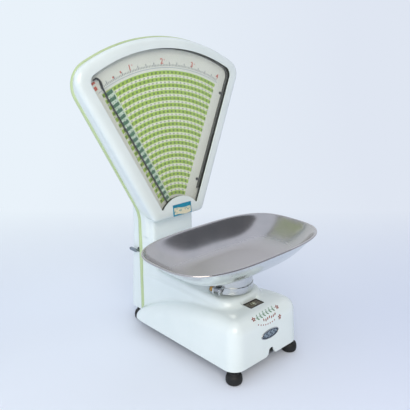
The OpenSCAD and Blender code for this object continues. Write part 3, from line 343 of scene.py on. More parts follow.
def nose(half, length):
    points = []
    for k in range(33):
        c, s = math.cos(math.pi * k / 32), math.sin(math.pi * k / 32)
        points.append((-math.copysign(abs(c) ** (2 / NOSE_POWER), c) * half,
                       NOSE_BACK - length * abs(s) ** (2 / NOSE_POWER)))
    return points + [(half, TONGUE_END), (-half, TONGUE_END)]


tongue_profile = [(0, 126), (0, 130.6), (1.2, 131.3), (3, 132.8), (4.6, 135.4), (6, 139), (7.4, 142.4),
                  (9.3, 144.9), (12, 146.1), (15, TONGUE_Z)]
tongue = loft("tongue", [[at(x, y, z) for x, y in nose(67 - inset, 50 - 1.8 * inset)]
                         for inset, z in tongue_profile])
print("tongue rises", round(TONGUE_Z - DECK, 1), "mm above the deck")

# %% [markdown]
# The pillar stands on the tongue's rear end. Its plan is a shallow trapezium with round front edges, and
# its foot flares out into the tongue in a quarter hollow. It runs up behind the chin of the head.

# %% The pillar
NECK_Y, NECK_HALF, FILLET = SEAM - 41.5, 61.1, 23.0


def pillar_plan(z):
    up = z - TONGUE_Z
    flare = 0.0 if up >= FILLET else FILLET - math.sqrt(FILLET ** 2 - (FILLET - max(0.0, up)) ** 2)
    y0, r = NECK_Y - flare, 6.0 + 0.3 * flare
    front = arc(r, 180, 270, 7, (-NECK_HALF + r, y0 + r)) + arc(r, 270, 360, 7, (NECK_HALF - r, y0 + r))
    return [at(x, y, z) for x, y in front + [(PILLAR_HALF, SEAM), (PILLAR_HALF, TRIM_Y),
                                             (-PILLAR_HALF, TRIM_Y), (-PILLAR_HALF, SEAM)]]


heights = [TRIM_Z, 140, TONGUE_Z, 147.5, 149.5, 152, 155.5, 159.5, 164, TONGUE_Z + FILLET, 210, 290]
pillar = loft("pillar", [pillar_plan(z) for z in heights])
print("pillar", 2 * NECK_HALF, "mm wide at the front,", 2 * PILLAR_HALF, "at the seam")

# %% [markdown]
# The head is lofted from the bezel, whose broad edge is a quarter round, back to the outline at the
# seam. The slab behind it carries the knee, the curve that leads each side of the pillar out into the
# fan. All solids reach a little below and behind the real casing, because they are trimmed afterwards.

# %% Head block and knee
BEZEL_HALF, BEZEL_ANGLE, BEZEL_R, BEZEL_CORNER = 63.8, 26.78, 416.7, 32.0
ROUND_IN, ROUND_BACK = 17.0, 11.0
KNEE_TOP = 90.0       # the knee's slab ends this far above the pivot, inside the fan


def bezel(inset, depth):
    cos = math.cos(math.radians(BEZEL_ANGLE))
    points = fan(BEZEL_HALF - inset / cos, BEZEL_ANGLE, BEZEL_R - inset, BEZEL_CORNER - inset * 0.6,
                 FAN_LOW + 0.5 + inset, LOW_CORNER)
    return [on_face(u, v, depth) for u, v in points]


rings = []
for angle in range(0, 91, 10):
    t = math.radians(angle)
    rings.append(bezel(ROUND_IN * (1 - math.sin(t)), ROUND_BACK * (1 - math.cos(t))))
seam_ring = upright(seam_fan(0), SEAM)
rings.append([a.lerp(b, 0.6) for a, b in zip(rings[-1], seam_ring)])
rings.append(seam_ring)
rings.append(upright(seam_fan(0), TRIM_Y))
head_block = loft("head_block", rings)


def knee_slab(grow, low_z, y):
    return upright([p for p in seam_line(grow, low_z) if p[1] < KNEE_TOP], y)


knee = loft("knee", [knee_slab(0, JOINT_Z - 20, y) for y in (SEAM - 24, TRIM_Y)])
print("head block", len(head_block.data.vertices), "points")

# %% [markdown]
# Now the solids become one skin. The voxel size decides how much of the surface survives: at 2.4 mm
# the skin keeps the enamel's soft corners and still stays light. A smoothing pass takes out the steps
# of the voxels. Bisecting leaves clean open edges at the bottom and at the seam, and a wall is then
# given inwards, so the outer surface stays where it was drawn.

# %% Front casing skin
VOXEL, SKIN_WALL = 2.4, 3.0
shell = join("shell", [skirt, hump, tongue, pillar, head_block, knee])
apply_modifier(shell, "REMESH", mode="VOXEL", voxel_size=VOXEL * MM, adaptivity=0.0)
apply_modifier(shell, "SMOOTH", factor=0.5, iterations=14)
trim(shell, at(0, 0, FOOT), (0, 0, -1))
trim(shell, at(0, SEAM - 0.3, 0), (0, 1, 0))

# The smoothing lifts the deck in front of the tongue, where the level has to lie flush, so the deck is
# laid flat again round the level and meets the smoothed skin over a short run.
LEVEL_X, LEVEL_Y = 4.2, SEAM - 291.8
FLAT_X, FLAT_Y, FLAT_RUN, NEAR_DECK = 22.0, 13.5, 6.0, 9.0
for vert in shell.data.vertices:
    x, y, z = (c / MM for c in vert.co)
    if abs(z - DECK) < NEAR_DECK:
        out_by = max(abs(x - LEVEL_X) - FLAT_X, abs(y - LEVEL_Y) - FLAT_Y, 0.0)
        hold = max(0.0, 1.0 - out_by / FLAT_RUN)
        vert.co.z = (z + (DECK - z) * hold) * MM
base_skin = copy_of(shell, "base_skin")
trim(base_skin, at(0, 0, JOINT_Z), (0, 0, 1))
head_skin = shell
head_skin.name = head_skin.data.name = "head_skin"
trim(head_skin, at(0, 0, JOINT_Z), (0, 0, -1))
for piece in (base_skin, head_skin):
    apply_modifier(piece, "SOLIDIFY", thickness=SKIN_WALL * MM, offset=-1.0, use_even_offset=True)
print("base skin", len(base_skin.data.polygons), "faces, head skin", len(head_skin.data.polygons))

# %% [markdown]
# Openings are cut last, so that their edges stay crisp: the level's window and the stem's hole in the
# deck, the finger notch in the bottom edge of the front, and the big window of the fan. The window's
# lower edge is an arch about the pivot, which is what leaves the chin standing like a half moon.

# %% Cut the openings
WIN_HALF, WIN_ANGLE, WIN_R, WIN_CORNER, WIN_ARCH, WIN_TIP = 33.0, 26.8, 392.0, 18.0, 63.5, 4.0


def window_loop():
    """Rounded tips join the leaning sides to the arch: circles that touch both from inside the window."""
    tip = corner_middle(WIN_HALF, WIN_ANGLE, WIN_ARCH + 2 * WIN_TIP, WIN_TIP)
    meet = math.degrees(math.atan2(tip[1], tip[0]))
    side = arc(WIN_TIP, meet - 180, -WIN_ANGLE, 8, tip)
    outline = mirrored(side + fan_top(WIN_HALF, WIN_ANGLE, WIN_R, WIN_CORNER))
    return outline + arc(WIN_ARCH, 180 - meet, meet, 16, skip=1)[:-1]


cut(head_skin, loft("window_cut", [[on_face(u, v, d) for u, v in window_loop()] for d in (-12, 15)]))
LEVEL_HALF_X, LEVEL_HALF_Y = 20.9, 11.9
cut(base_skin, block(at(LEVEL_X, LEVEL_Y, DECK + 5), (2 * LEVEL_HALF_X + 0.6, 2 * LEVEL_HALF_Y + 0.6, 50)))
cut(base_skin, rod(at(0, CUP_Y, 145), 11, 60, 48))

NOTCH_X = 8.0
notch_half = [(14.5, -6), (14.5, 0.2), (12.2, 1.6), (9.6, 4.6), (8.0, 8.0)]
notch_half += [(x, z) for x, z in arc(7.6, 0, 90, 8, (0.0, 9.4))]
notch = [(NOTCH_X + x, FOOT + z) for x, z in mirrored(notch_half)]
cut(base_skin, loft("notch_cut", [[at(x, y, z) for x, z in notch] for y in (FRONT - 8, FRONT + 14)]))
smooth(base_skin, 40)
smooth(head_skin, 40)
print("after cutting", len(base_skin.data.polygons), "and", len(head_skin.data.polygons), "faces")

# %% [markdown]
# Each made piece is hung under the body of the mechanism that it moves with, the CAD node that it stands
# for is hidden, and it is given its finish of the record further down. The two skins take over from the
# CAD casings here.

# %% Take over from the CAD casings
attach(base_skin, "casing")
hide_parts("base_casing")
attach(head_skin, "casing")
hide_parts("head_casing")
print("the front casing is dressed in two skins, above and below", JOINT_Z, "mm")

# %% [markdown]
# Behind the seam sits the rear casing: a shallow dome behind the fan, and a deeper box behind the pillar
# that holds the frame and the counterweight. It is made the same way as the front, as closed forms that
# are remeshed into one skin, so the dome and the box meet in a soft hollow.

# %% Rear casing skin
REAR_DEPTH, DOME, BOX_TOP, BOX_ROUND = 37.0, 22.0, 345.0, 16.0
SWELL, SWELL_Z = 16.0, 243.0                        # the box grows deeper down to the foot
RIM, OVERLAP, REAR_VOXEL = 4.5, SEAM - 6, 2.6       # straight rim, and how far forms reach past the seam
dome_rings = [upright(seam_fan(0.8), OVERLAP), upright(seam_fan(0.8), SEAM + RIM)]
for angle in range(15, 91, 15):
    t = math.radians(angle)
    depth = SEAM + RIM + (DOME - RIM) * math.sin(t)
    dome_rings.append(upright(seam_fan(1.2 + 16 * (1 - math.cos(t))), depth))
dome = loft("dome", dome_rings)


def box_plan(z, inset=0.0):
    swell = SWELL * max(0.0, SWELL_Z - max(z, FOOT)) / (SWELL_Z - FOOT)
    half, back = PILLAR_HALF - inset - 0.3, SEAM + REAR_DEPTH + swell - inset - 0.3
    r = BOX_ROUND - inset * 0.5
    round_back = arc(r, 0, 90, 8, (half - r, back - r)) + arc(r, 90, 180, 8, (r - half, back - r))
    return [at(x, y, z) for x, y in [(-half, OVERLAP), (half, OVERLAP)] + round_back]


box_heights = (TRIM_Z, FOOT, 60, 90, 120, 150, 180, 210, SWELL_Z, 290, BOX_TOP - 9)
box_rings = [box_plan(z) for z in box_heights]
for angle in (20, 40, 60, 80):
    t = math.radians(angle)
    box_rings.append(box_plan(BOX_TOP - 9 + 9 * math.sin(t), 9 * (1 - math.cos(t))))
deep_box = loft("deep_box", box_rings)
rear_knee = loft("rear_knee", [upright([p for p in seam_line(-0.8, TRIM_Z) if p[1] < KNEE_TOP], y)
                               for y in (OVERLAP, SEAM + RIM)])
rear_skin = join("rear_skin", [dome, deep_box, rear_knee])
apply_modifier(rear_skin, "REMESH", mode="VOXEL", voxel_size=REAR_VOXEL * MM, adaptivity=0.0)
apply_modifier(rear_skin, "SMOOTH", factor=0.5, iterations=8)
trim(rear_skin, at(0, 0, FOOT), (0, 0, -1))
trim(rear_skin, at(0, SEAM + 0.3, 0), (0, -1, 0))
apply_modifier(rear_skin, "SOLIDIFY", thickness=2.6 * MM, offset=-1.0, use_even_offset=True)
print("rear skin", len(rear_skin.data.polygons), "faces")

# %% [markdown]
# The buyer reads the weight from behind, through a narrow curved window. The lock lever's shaft comes
# out at the side, so it needs a round hole. Both are plain solids that are cut from the skin.

# %% Rear window and lock hole
WIN_LOW, WIN_HIGH, WIN_HALF_ANGLE = 298.0, 372.0, 26.0
rear_fan = (arc(WIN_HIGH, 90 - WIN_HALF_ANGLE, 90 + WIN_HALF_ANGLE, 28)
            + arc(WIN_LOW, 90 + WIN_HALF_ANGLE, 90 - WIN_HALF_ANGLE, 28))
cut(rear_skin, loft("rear_window_cut", [upright(rear_fan, y) for y in (SEAM + 8, SEAM + 40)]))
LOCK = (SEAM + 8.0, 186.5)
cut(rear_skin, rod(at(-PILLAR_HALF, *LOCK), 6.1, 20, 32, math.pi / 2))
smooth(rear_skin, 40)
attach(rear_skin, "casing")
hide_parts("rear_cover")
print("rear skin with its window and hole", len(rear_skin.data.polygons), "faces")

# %% [markdown]
# A pale green bead covers the seam between the two casings. It is a half-round strip, so one small
# section is carried along the seam's outline. At each point the section is turned to stand square to
# the outline, which keeps the bead the same width around the knee and the corners of the fan.

# %% The seam bead
BEAD_HALF, BEAD_RISE, BEAD_LOW = 4.5, 3.5, 41.0


def seam_section(points, k):
    before, after = points[max(k - 1, 0)], points[min(k + 1, len(points) - 1)]
    along = Vector((after[0] - before[0], after[1] - before[1])).normalized()
    out = Vector((along.y, -along.x))
    section = []
    for a in range(0, 181, 15):
        t = math.radians(a)
        rise, y = (BEAD_RISE - 0.05) * math.sin(t) ** 0.8, SEAM + (BEAD_HALF - 0.05) * math.cos(t)
        section.append((rise, y))
    section += [(-1.5, SEAM - BEAD_HALF + 0.05), (-1.5, SEAM + BEAD_HALF - 0.05)]
    x, z = points[k]
    return [at(x + out.x * rise, y, PIVOT[2] + z + out.y * rise) for rise, y in section]


seam_points = seam_line(0.0, FOOT)
seam_points = [(seam_points[0][0], seam_points[0][1] + dz) for dz in (0, 11.5, 60, 120)] + seam_points[1:]
seam_points = seam_points[:-1] + [(-x, z) for x, z in reversed(seam_points[:4])]
bead = loft("seam_bead_round", [seam_section(seam_points, k) for k in range(len(seam_points))])
cut(bead, block(at(0, SEAM - 10, FOOT + (BEAD_LOW - FOOT) / 2 - 5), (220, 20, BEAD_LOW - FOOT + 10)))
smooth(bead, 40)
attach(bead, "casing")
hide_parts("seam_bead")
print("bead", len(bead.data.polygons), "faces")

# %% [markdown]
# The pan is drawn from stainless sheet, with a flat floor, sides that curve up and a rolled rim. Its
# plan is a rounded oblong: a superellipse follows the real outline within two millimetres. The sheet is
# lofted from the middle of the underside out to the rim, over it, and back to the middle of the floor.

# %% The pan
PAN_Y, PAN_A, PAN_B, RIM_Z, PAN_DEPTH = SEAM - 236, 205.0, 118.0, 261.0, 57.0
PAN_FLAT, PAN_POWER, WALL_POWER, SHEET, RIM_R = 0.46, 3.15, 2.1, 1.5, 2.4


def oblong(a, b, z):
    points = []
    for k in range(144):
        t = 2 * math.pi * k / 144
        c, s = math.cos(t), math.sin(t)
        points.append(at(math.copysign(abs(c) ** (2 / PAN_POWER), c) * a,
                         PAN_Y + math.copysign(abs(s) ** (2 / PAN_POWER), s) * b, z))
    return points


def bowl(q):
    if q <= PAN_FLAT:
        return -PAN_DEPTH
    return -PAN_DEPTH * (1 - ((q - PAN_FLAT) / (1 - PAN_FLAT)) ** WALL_POWER)


a, b = PAN_A - RIM_R - 0.2, PAN_B - RIM_R - 0.2
shares = [0.06, 0.2, 0.34, PAN_FLAT] + [PAN_FLAT + (1 - PAN_FLAT) * k / 20 for k in range(1, 20)] + [0.995]
under = [oblong(a * q, b * q, RIM_Z + bowl(q) - 0.1 * q) for q in shares]
turn = [math.radians(t) for t in range(-130, 131, 20)]
roll = [oblong(a + RIM_R * math.cos(t), b + RIM_R * math.cos(t), RIM_Z - RIM_R + RIM_R * math.sin(t))
        for t in turn]
floor = [oblong(a * q - SHEET, b * q - SHEET, RIM_Z + bowl(q) + SHEET) for q in reversed(shares[:-1])]
pan_sheet = loft("pan_sheet", under + roll + floor)
smooth(pan_sheet, 50)
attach(pan_sheet, "pan")
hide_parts("pan")
print("pan", len(pan_sheet.data.polygons), "faces")

# %% [markdown]
# The pointer is a thin black blade that ends in a hooked tip, and the unit-price strip rides beside it
# on the same arm. Both are flat, so each is an outline that is lofted through its thickness. They are
# drawn upright and turned to where the pointer rests, left of the chart. The CAD arm keeps its crank
# behind the chin, and the new blade is drawn a hair in front of it, so only its outline changes.

# %% Pointer and price strip
REST_DEG = 27.4       # where the pointer rests, left of upright
REST = math.radians(REST_DEG)


def by_pointer(x, r, depth):
    return on_face(x * math.cos(REST) - r * math.sin(REST), x * math.sin(REST) + r * math.cos(REST), depth)


def flat_piece(name, outline, front, back, body, node):
    piece = loft(name, [[by_pointer(x, r, d) for x, r in outline] for d in (front, back)])
    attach(piece, body)
    if node:
        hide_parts(node)
    return piece


blade = flat_piece("pointer_blade", [
    (-3.2, 56), (3.2, 56), (-0.8, 72), (-0.7, 342), (1.6, 350), (2.2, 357), (4.6, 365), (4.6, 374),
    (2.0, 379.5), (-2.0, 383), (-11.0, 382.4), (-10.5, 379.6), (-4.0, 379.2), (-1.0, 376), (1.4, 372),
    (1.4, 367), (-0.6, 358), (-1.6, 351), (-3.0, 342), (-2.8, 72)],
    10.9, 11.6, "pointer", None)
strip = flat_piece("unit_price_strip", [
    (-0.2, 62), (13.0, 60), (21.0, 335), (19.6, 345), (-0.4, 345)], 12.0, 13.0, "pointer", "price_strip")
print("pointer rests", REST_DEG, "degrees left of upright")

# %% [markdown]
# The numbers round the chart are plain red figures, one for each unit of weight, with two small marks
# before the first. A text object gives the digit, it is made a mesh, and its points are then laid on
# the leaning plate at its angle about the pivot. A worn red block stands at the zero line.

# %% Numbers on the chart
CHART_DEPTH, FIGURE_R, FIGURE_SIZE = 17.85, 360.5, 16.5


def on_chart(x, y, angle, radius):
    t, r = math.radians(angle), radius + y
    return on_face(r * math.sin(t) + x * math.cos(t), r * math.cos(t) - x * math.sin(t), CHART_DEPTH)


figures = []
for digit in range(1, 5):
    bare_selection()
    bpy.ops.object.text_add(location=(0, 0, 0))
    words = bpy.context.object
    words.data.body = str(digit)
    words.data.size = FIGURE_SIZE
    words.data.align_x = "CENTER"
    words.data.offset = 0.35
    bpy.ops.object.convert(target="MESH")
    figure = bpy.context.object
    turn_to = UNIT * (digit - 2) + (0.1 if digit < 4 else -0.6)
    for vert in figure.data.vertices:
        vert.co = on_chart(vert.co.x, vert.co.y, turn_to, FIGURE_R)
    figures.append(figure)
dashes = [(UNIT * (d - 2) + 1.25, 369.0, 1.6, 3.0) for d in range(1, 4)] + [
    (-21.4, 362.0, 3.0, 4.5), (-17.9, 364.5, 3.0, 5.0), (-28.9, 374.5, 9.0, 5.0), (-29.1, 363.0, 7.0, 8.0)]
for angle, radius, wide, high in dashes:
    corners = [(-wide / 2, -high / 2), (wide / 2, -high / 2), (wide / 2, high / 2), (-wide / 2, high / 2)]
    ring = [on_chart(x, y, angle, radius) for x, y in corners]
    figures.append(loft("mark", [ring, [p + Vector((0, 0.0001, 0)) for p in ring]]))
numbers = join("chart_numbers", figures)
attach(numbers, "casing")
print("numbers", len(numbers.data.polygons), "faces")

# %% [markdown]
# The pan sits in a turned steel cup. A strap is drawn round the foot of the cup by a screw and a brass
# nut, so its two ends are bent out as lugs with a gap between them. Each round piece is a profile
# that is turned about its axis, and a gap is only an arc that stops short.

# %% Pan cup
CUP_R, CUP_Z, CUP_TOP, CUP_FLOOR = 46.8, 152.5, 204.0, 5.0


def turned(name, profile, place, count=72, first=0.0, last=360.0, closed=False):
    """Turns (radius, height) points about an axis; place(x, y, z) lays a point in millimetres."""
    whole = abs(last - first - 360.0) < 1e-6
    angles = [math.radians(first + (last - first) * k / count) for k in range(count + (0 if whole else 1))]
    if whole:
        rings = [[place(r * math.cos(a), r * math.sin(a), z) for a in angles] for r, z in profile]
        return loft(name, rings, back_to_start=closed)
    return loft(name, [[place(r * math.cos(a), r * math.sin(a), z) for r, z in profile] for a in angles])


def by_cup(x, y, z):
    return at(x, CUP_Y + y, CUP_Z + z)


cup_high = CUP_TOP - CUP_Z
cup_profile = [(4, 0), (45.6, 0), (46.5, 0.4), (CUP_R, 1.2), (CUP_R, cup_high - 1.2),
               (46.4, cup_high - 0.3), (45.6, cup_high), (45.0, cup_high - 0.2), (44.4, cup_high - 1.0),
               (44.3, 5.6), (43.7, CUP_FLOOR), (4, CUP_FLOOR)]
cup = smooth(turned("turned_pan_cup", cup_profile, by_cup, 96), 35)
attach(cup, "carrier")
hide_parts("pan_cup")

# %% [markdown]
# The strap, its two lugs, the slotted screw and the six-sided nut share one small frame at the clamp:
# x goes out through the gap, y along the screw. The lugs are extruded outlines with bevelled edges.

# %% Strap, lugs, screw and nut
CLAMP_DEG, LUG_ROUND = 191, 2.6
CLAMP_TURN = math.radians(CLAMP_DEG)
LUG_IN, LUG_OUT, HALF_GAP, LUG_T, SCREW_X, SCREW_Z = 46.6, 58.0, 6.0, 4.0, 54.0, 163.0


def by_clamp(x, y, z):
    """x goes out from the cup's middle through the clamp, y along the screw and z up."""
    return at(x * math.cos(CLAMP_TURN) - y * math.sin(CLAMP_TURN),
              CUP_Y + x * math.sin(CLAMP_TURN) + y * math.cos(CLAMP_TURN), z)


def along_screw(x, z, y):
    return by_clamp(SCREW_X + x, y, SCREW_Z + z)


strap_profile = [(46.9, 0.2), (48.0, 0.2), (48.5, 0.7), (48.55, 7.5), (48.5, 14.2), (48.0, 14.7),
                 (46.9, 14.7)]
start = math.degrees(CLAMP_TURN) + math.degrees(math.asin((HALF_GAP + 0.4) / 47.0))
strap = turned("clamp_strap", strap_profile, by_cup, 90, start, start + 360 - 2 * (start - CLAMP_DEG))


def lug(side):
    low, high = CUP_Z + 0.7, CUP_Z + 14.7
    points = arc(LUG_ROUND, 0, 90, 6, (LUG_OUT - LUG_ROUND, high - LUG_ROUND))
    points += [(LUG_IN, high), (LUG_IN, low)]
    points += arc(LUG_ROUND, 270, 360, 6, (LUG_OUT - LUG_ROUND, low + LUG_ROUND))
    near, far = side * HALF_GAP, side * (HALF_GAP + LUG_T)
    piece = loft("lug", [[by_clamp(x, y, z) for x, z in points] for y in (near, far)])
    return apply_modifier(piece, "BEVEL", width=0.9 * MM, segments=3, limit_method="ANGLE")


strap = smooth(join("clamp_strap", [strap, lug(-1), lug(1)]), 35)
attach(strap, "carrier")
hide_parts("cup_band")

screw_profile = [(0.6, 13.4), (2.6, 13.2), (3.8, 12.3), (4.3, 11.2), (4.3, 10.1), (2.4, 10.0), (2.4, 6.0),
                 (4.2, 5.9), (4.6, 5.3), (4.6, -5.3), (4.2, -5.9), (2.4, -6.0), (2.4, -17.2), (1.8, -17.9),
                 (0.5, -17.9)]
screw = turned("clamp_screw", screw_profile, along_screw, 36)
cut(screw, block(by_clamp(SCREW_X, 13.6, SCREW_Z), (1.2, 3.0, 12), CLAMP_TURN))
smooth(screw, 30)
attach(screw, "carrier")
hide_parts("clamp_screw")


def hexagon(size, y):
    return [along_screw(size * math.cos(t), size * math.sin(t), y)
            for t in (k * math.pi / 3 for k in range(6))]


nut = loft("brass_nut", [hexagon(s, y) for s, y in ((5.5, -10.05), (6.1, -10.6), (6.1, -15.2), (5.3, -15.9))])
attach(nut, "carrier")
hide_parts("clamp_nut")
print("cup", len(cup.data.polygons), "strap", len(strap.data.polygons), "screw", len(screw.data.polygons))

# %% [markdown]
# The feet are moulded rubber bumpers: a round-edged puck with a narrow neck under the casing. Each is
# a loft of circles up its profile, modelled once and copied to the four corners.

# %% Rubber feet
foot_profile = [(11.0, 0.2), (13.4, 0.35), (15.3, 1.2), (16.7, 3.2), (17.3, 6.0), (17.4, 9.0), (17.2, 12.5),
                (16.6, 16.0), (15.2, 19.0), (13.2, 20.9), (11.4, 21.6), (10.6, 22.4), (10.2, 24.0),
                (10.2, 26.0)]
first_foot = smooth(turned("rubber_foot", foot_profile, at, 56), 35)
CORNERS = ("front_left", "front_right", "rear_left", "rear_right")
for corner in CORNERS:
    foot = copy_of(first_foot, "rubber_foot_" + corner)
    low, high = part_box("foot_pad_" + corner)
    middle = (low + high) / 2
    foot.data.transform(Matrix.Translation((middle.x, middle.y, 0)))
    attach(foot, "foot_" + corner)
    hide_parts("foot_pad_" + corner)
bpy.data.objects.remove(first_foot)
print("four feet,", round(max(r for r, z in foot_profile) * 2, 1), "mm across")

# %% [markdown]
# The level's window is a dark pressed frame, set flush in the deck, with a card and a round vial of
# spirit in it. Frame and card are lofts of rounded oblongs, and vial, ring and bubble are turned.

# %% Level window
def level_ring(half_x, half_y, z, round_r):
    """A rounded oblong about the level's middle."""
    points = []
    for sx, sy, start in ((1, 1, 0), (-1, 1, 90), (-1, -1, 180), (1, -1, 270)):
        corner = (LEVEL_X + sx * (half_x - round_r), LEVEL_Y + sy * (half_y - round_r))
        points += arc(round_r, start, start + 90, 4, corner)
    return [at(x, y, z) for x, y in points]


level = loft("level_window_frame", [level_ring(LEVEL_HALF_X - inset, LEVEL_HALF_Y - inset, DECK + z, r)
                                    for inset, z, r in ((0, -9, 1.5), (0, 0.1, 1.5), (0.4, 0.5, 1.5),
                                                        (1.1, 0.5, 1.2), (1.4, 0.2, 1.0), (1.4, -2.2, 1.0))])
smooth(level, 30)
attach(level, "casing")
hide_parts("level_frame")
card = loft("level_card", [level_ring(19.4, 10.4, DECK - 3.0, 1.0), level_ring(19.4, 10.4, DECK - 0.9, 1.0),
                           level_ring(9.2, 9.2, DECK - 0.9, 9.0), level_ring(9.0, 9.0, DECK - 2.4, 8.8)])
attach(card, "casing")


def level_disc(name, radius, z, rise, centre, count=40):
    """A low dome, as of a vial's glass or a bubble under it."""
    profile = [(radius, z - 0.8)]
    profile += [(radius * s, z + rise * (1 - s * s)) for s in (1.0, 0.97, 0.85, 0.6, 0.3, 0.06)]
    disc = turned(name, profile, lambda x, y, height: at(centre[0] + x, centre[1] + y, height), count)
    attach(disc, "casing")
    return smooth(disc, 40)


vial = level_disc("spirit_vial", 8.6, DECK - 1.4, 0.8, (LEVEL_X, LEVEL_Y))
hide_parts("level_vial")
bubble = level_disc("vial_bubble", 3.4, DECK - 0.8, 0.4, (LEVEL_X + 1.8, LEVEL_Y + 1.0), 28)
mark = turned("vial_ring", [(5.4, -0.7), (6.2, -0.7), (6.2, -0.42), (5.4, -0.36)],
              lambda x, y, z: at(LEVEL_X + x, LEVEL_Y + y, DECK + z), 40, closed=True)
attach(mark, "casing")

# %% [markdown]
# The oval plate on the front has a bright raised rim round a sunk field. The real plate bears words,
# so here it has a plain pattern of waves instead. Both pieces follow the lean of the front.

# %% Oval plate on the front
BADGE = (4.0, 80.5)   # its middle, across and up


def oval(a, b, lift):
    points = []
    for k in range(72):
        t = 2 * math.pi * k / 72
        height = BADGE[1] + b * math.sin(t)
        points.append(at(BADGE[0] + a * math.cos(t), FRONT + (height - FOOT) * DRAFT - lift, height))
    return points


badge_rim = loft("oval_plate_rim", [oval(*ring) for ring in (
    (28.0, 10.6, -0.6), (28.0, 10.6, 0.9), (27.5, 10.1, 1.4), (26.6, 9.2, 1.4), (26.2, 8.8, 1.0),
    (26.2, 8.8, -0.6))], back_to_start=True)
badge_field = loft("oval_plate", [oval(*ring) for ring in (
    (26.3, 8.9, -0.5), (26.3, 8.9, 0.7), (19.0, 5.2, 0.7), (18.4, 4.8, 1.1), (6.0, 1.6, 1.25))])
for piece, slot in ((badge_rim, "cup_steel"), (badge_field, "badge_paint")):
    smooth(piece, 30)
    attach(piece, "casing")
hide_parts("badge_plate")
print("oval plate", 2 * 28.0, "by", 2 * 10.6, "mm")

# %% [markdown]
# Above the oval plate the enamel carries a small printed transfer. Here it is a plain sprig: a curved
# stem with leaves, a few petals at each end and two rows of small marks below it. Each leaf is a thin
# pointed patch laid on the rounding, and its points are found by looking at the skin along a slope.

# %% Transfer on the front
SLOPE = Vector((0, 1, -1)).normalized()      # the way to look at the rounding
LOOK_Y, LOOK_Z, RISE, PATCH_POINTS = -225, 120, 0.7071, 10


def on_skin(u, q, lift):
    """The point of the skin that lies u across and q up the slope, lifted a little."""
    start = at(u, LOOK_Y + q * RISE, LOOK_Z + q * RISE)
    found, point, outward, _ = base_skin.ray_cast(start, SLOPE)
    assert found, ("no skin under the transfer", u, q)
    return point + outward * lift * MM


def patch(u, q, length, width, turn):
    rings = []
    for lift in (-0.1, 0.12):
        ring = []
        for k in range(PATCH_POINTS):
            a = 2 * math.pi * k / PATCH_POINTS
            along, aside = length / 2 * math.cos(a), width / 2 * math.sin(a) * abs(math.sin(a)) ** 0.4
            ring.append(on_skin(u + along * math.cos(turn) - aside * math.sin(turn),
                                q + along * math.sin(turn) + aside * math.cos(turn), lift))
        rings.append(ring)
    return loft("transfer_patch", rings)


def stem_at(u):
    return 35 + 3 * math.sin((u + 30) / 36)


leaf_rows = [patch(u, stem_at(u) + side * 3.2, 8.0, 3.4, side * 0.9 + 0.2)
             for u in range(-25, 28, 10) for side in (-1, 1)]
leaf_rows += [patch(u, stem_at(u), 5.0, 1.0, 0.1) for u in range(-30, 32, 5)]
petal_rows = [patch(centre + 3.0 * math.cos(a), q + 3.0 * math.sin(a), 4.4, 3.0, a)
              for centre, q in ((-37, 36), (38, 37), (36, 17)) for a in (0.3, 1.56, 2.82, 4.08, 5.34)]
petal_rows += [patch(u, 25.0 + 1.2 * math.sin(u / 3), 6.0, 3.2, 1.2 + 0.4 * math.sin(u))
               for u in range(-12, 26, 6)]
petal_rows += [patch(u, 15.0 + 0.006 * (u - 4) ** 2, 3.4, 2.6, 0.3) for u in range(-30, 24, 7)]
transfer_leaves = join("transfer_leaves", leaf_rows)
transfer_petals = join("transfer_petals", petal_rows)
for piece in (transfer_leaves, transfer_petals):
    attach(piece, "casing")
print("transfer has", len(leaf_rows), "leaves and stem pieces,", len(petal_rows), "petals and marks")

# %% [markdown]
# Below the chart a small lacquered plate is let into the chin. It is a thin sheet whose edge is drawn
# in a little at the front, and its blue and cream print comes with the finishes.

# %% Plate on the chin
CHIN_U, CHIN_V, CHIN_WIDE, CHIN_HIGH = 4.5, 33, 55, 26
chin_rings = [[on_face(CHIN_U + su * share * CHIN_WIDE / 2, CHIN_V + sv * share * CHIN_HIGH / 2, depth)
               for su, sv in ((-1, -1), (1, -1), (1, 1), (-1, 1))]
              for share, depth in ((1.0, 0.6), (1.0, -0.5), (0.985, -0.9))]
chin_sheet = loft("chin_plate_print", chin_rings)
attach(chin_sheet, "casing")
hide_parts("chin_plate")
print("chin plate", CHIN_WIDE, "by", CHIN_HIGH, "mm")

# %% [markdown]
# Each finish below starts from the real material. Colours are written as the hex values that a paint
# card would give, and one function turns them to the linear numbers of a shader. Another adds a node
# with its settings and links. Patterns read Object coordinates, which are metres on this part, so a
# noise of scale 500 has grains about two millimetres wide.

# %% Colour and node helpers
FINISH = {}


def linear(shade):
    """A shader's numbers for a hex colour, or for a grey from 0 to 1."""
    if not isinstance(shade, str):
        return (shade, shade, shade, 1.0)
    levels = [int(shade[k:k + 2], 16) / 255 for k in (1, 3, 5)]
    return tuple(c / 12.92 if c <= 0.04045 else ((c + 0.055) / 1.055) ** 2.4 for c in levels) + (1.0,)


def add(tree, kind, inputs=None, out=0, stops=None, **settings):
    """A node. Each input is another node's output, a hex colour or a plain value."""
    made = tree.nodes.new("ShaderNode" + kind)
    for key, value in settings.items():
        setattr(made, key, value)
    for key, value in (inputs or {}).items():
        if isinstance(value, bpy.types.NodeSocket):
            tree.links.new(value, made.inputs[key])
        else:
            made.inputs[key].default_value = linear(value) if isinstance(value, str) else value
    if stops:
        for element, (position, shade) in zip(made.color_ramp.elements, stops):
            element.position, element.color = position, linear(shade)
    return made.outputs[out]


def finish_of(name, **sockets):
    material = bpy.data.materials.new(name)
    material.use_nodes = True
    tree = material.node_tree
    shader = tree.nodes["Principled BSDF"]
    for key, value in sockets.items():
        shader.inputs[key.replace("_", " ")].default_value = value
    return material, tree, shader, add(tree, "TexCoord", out=3)


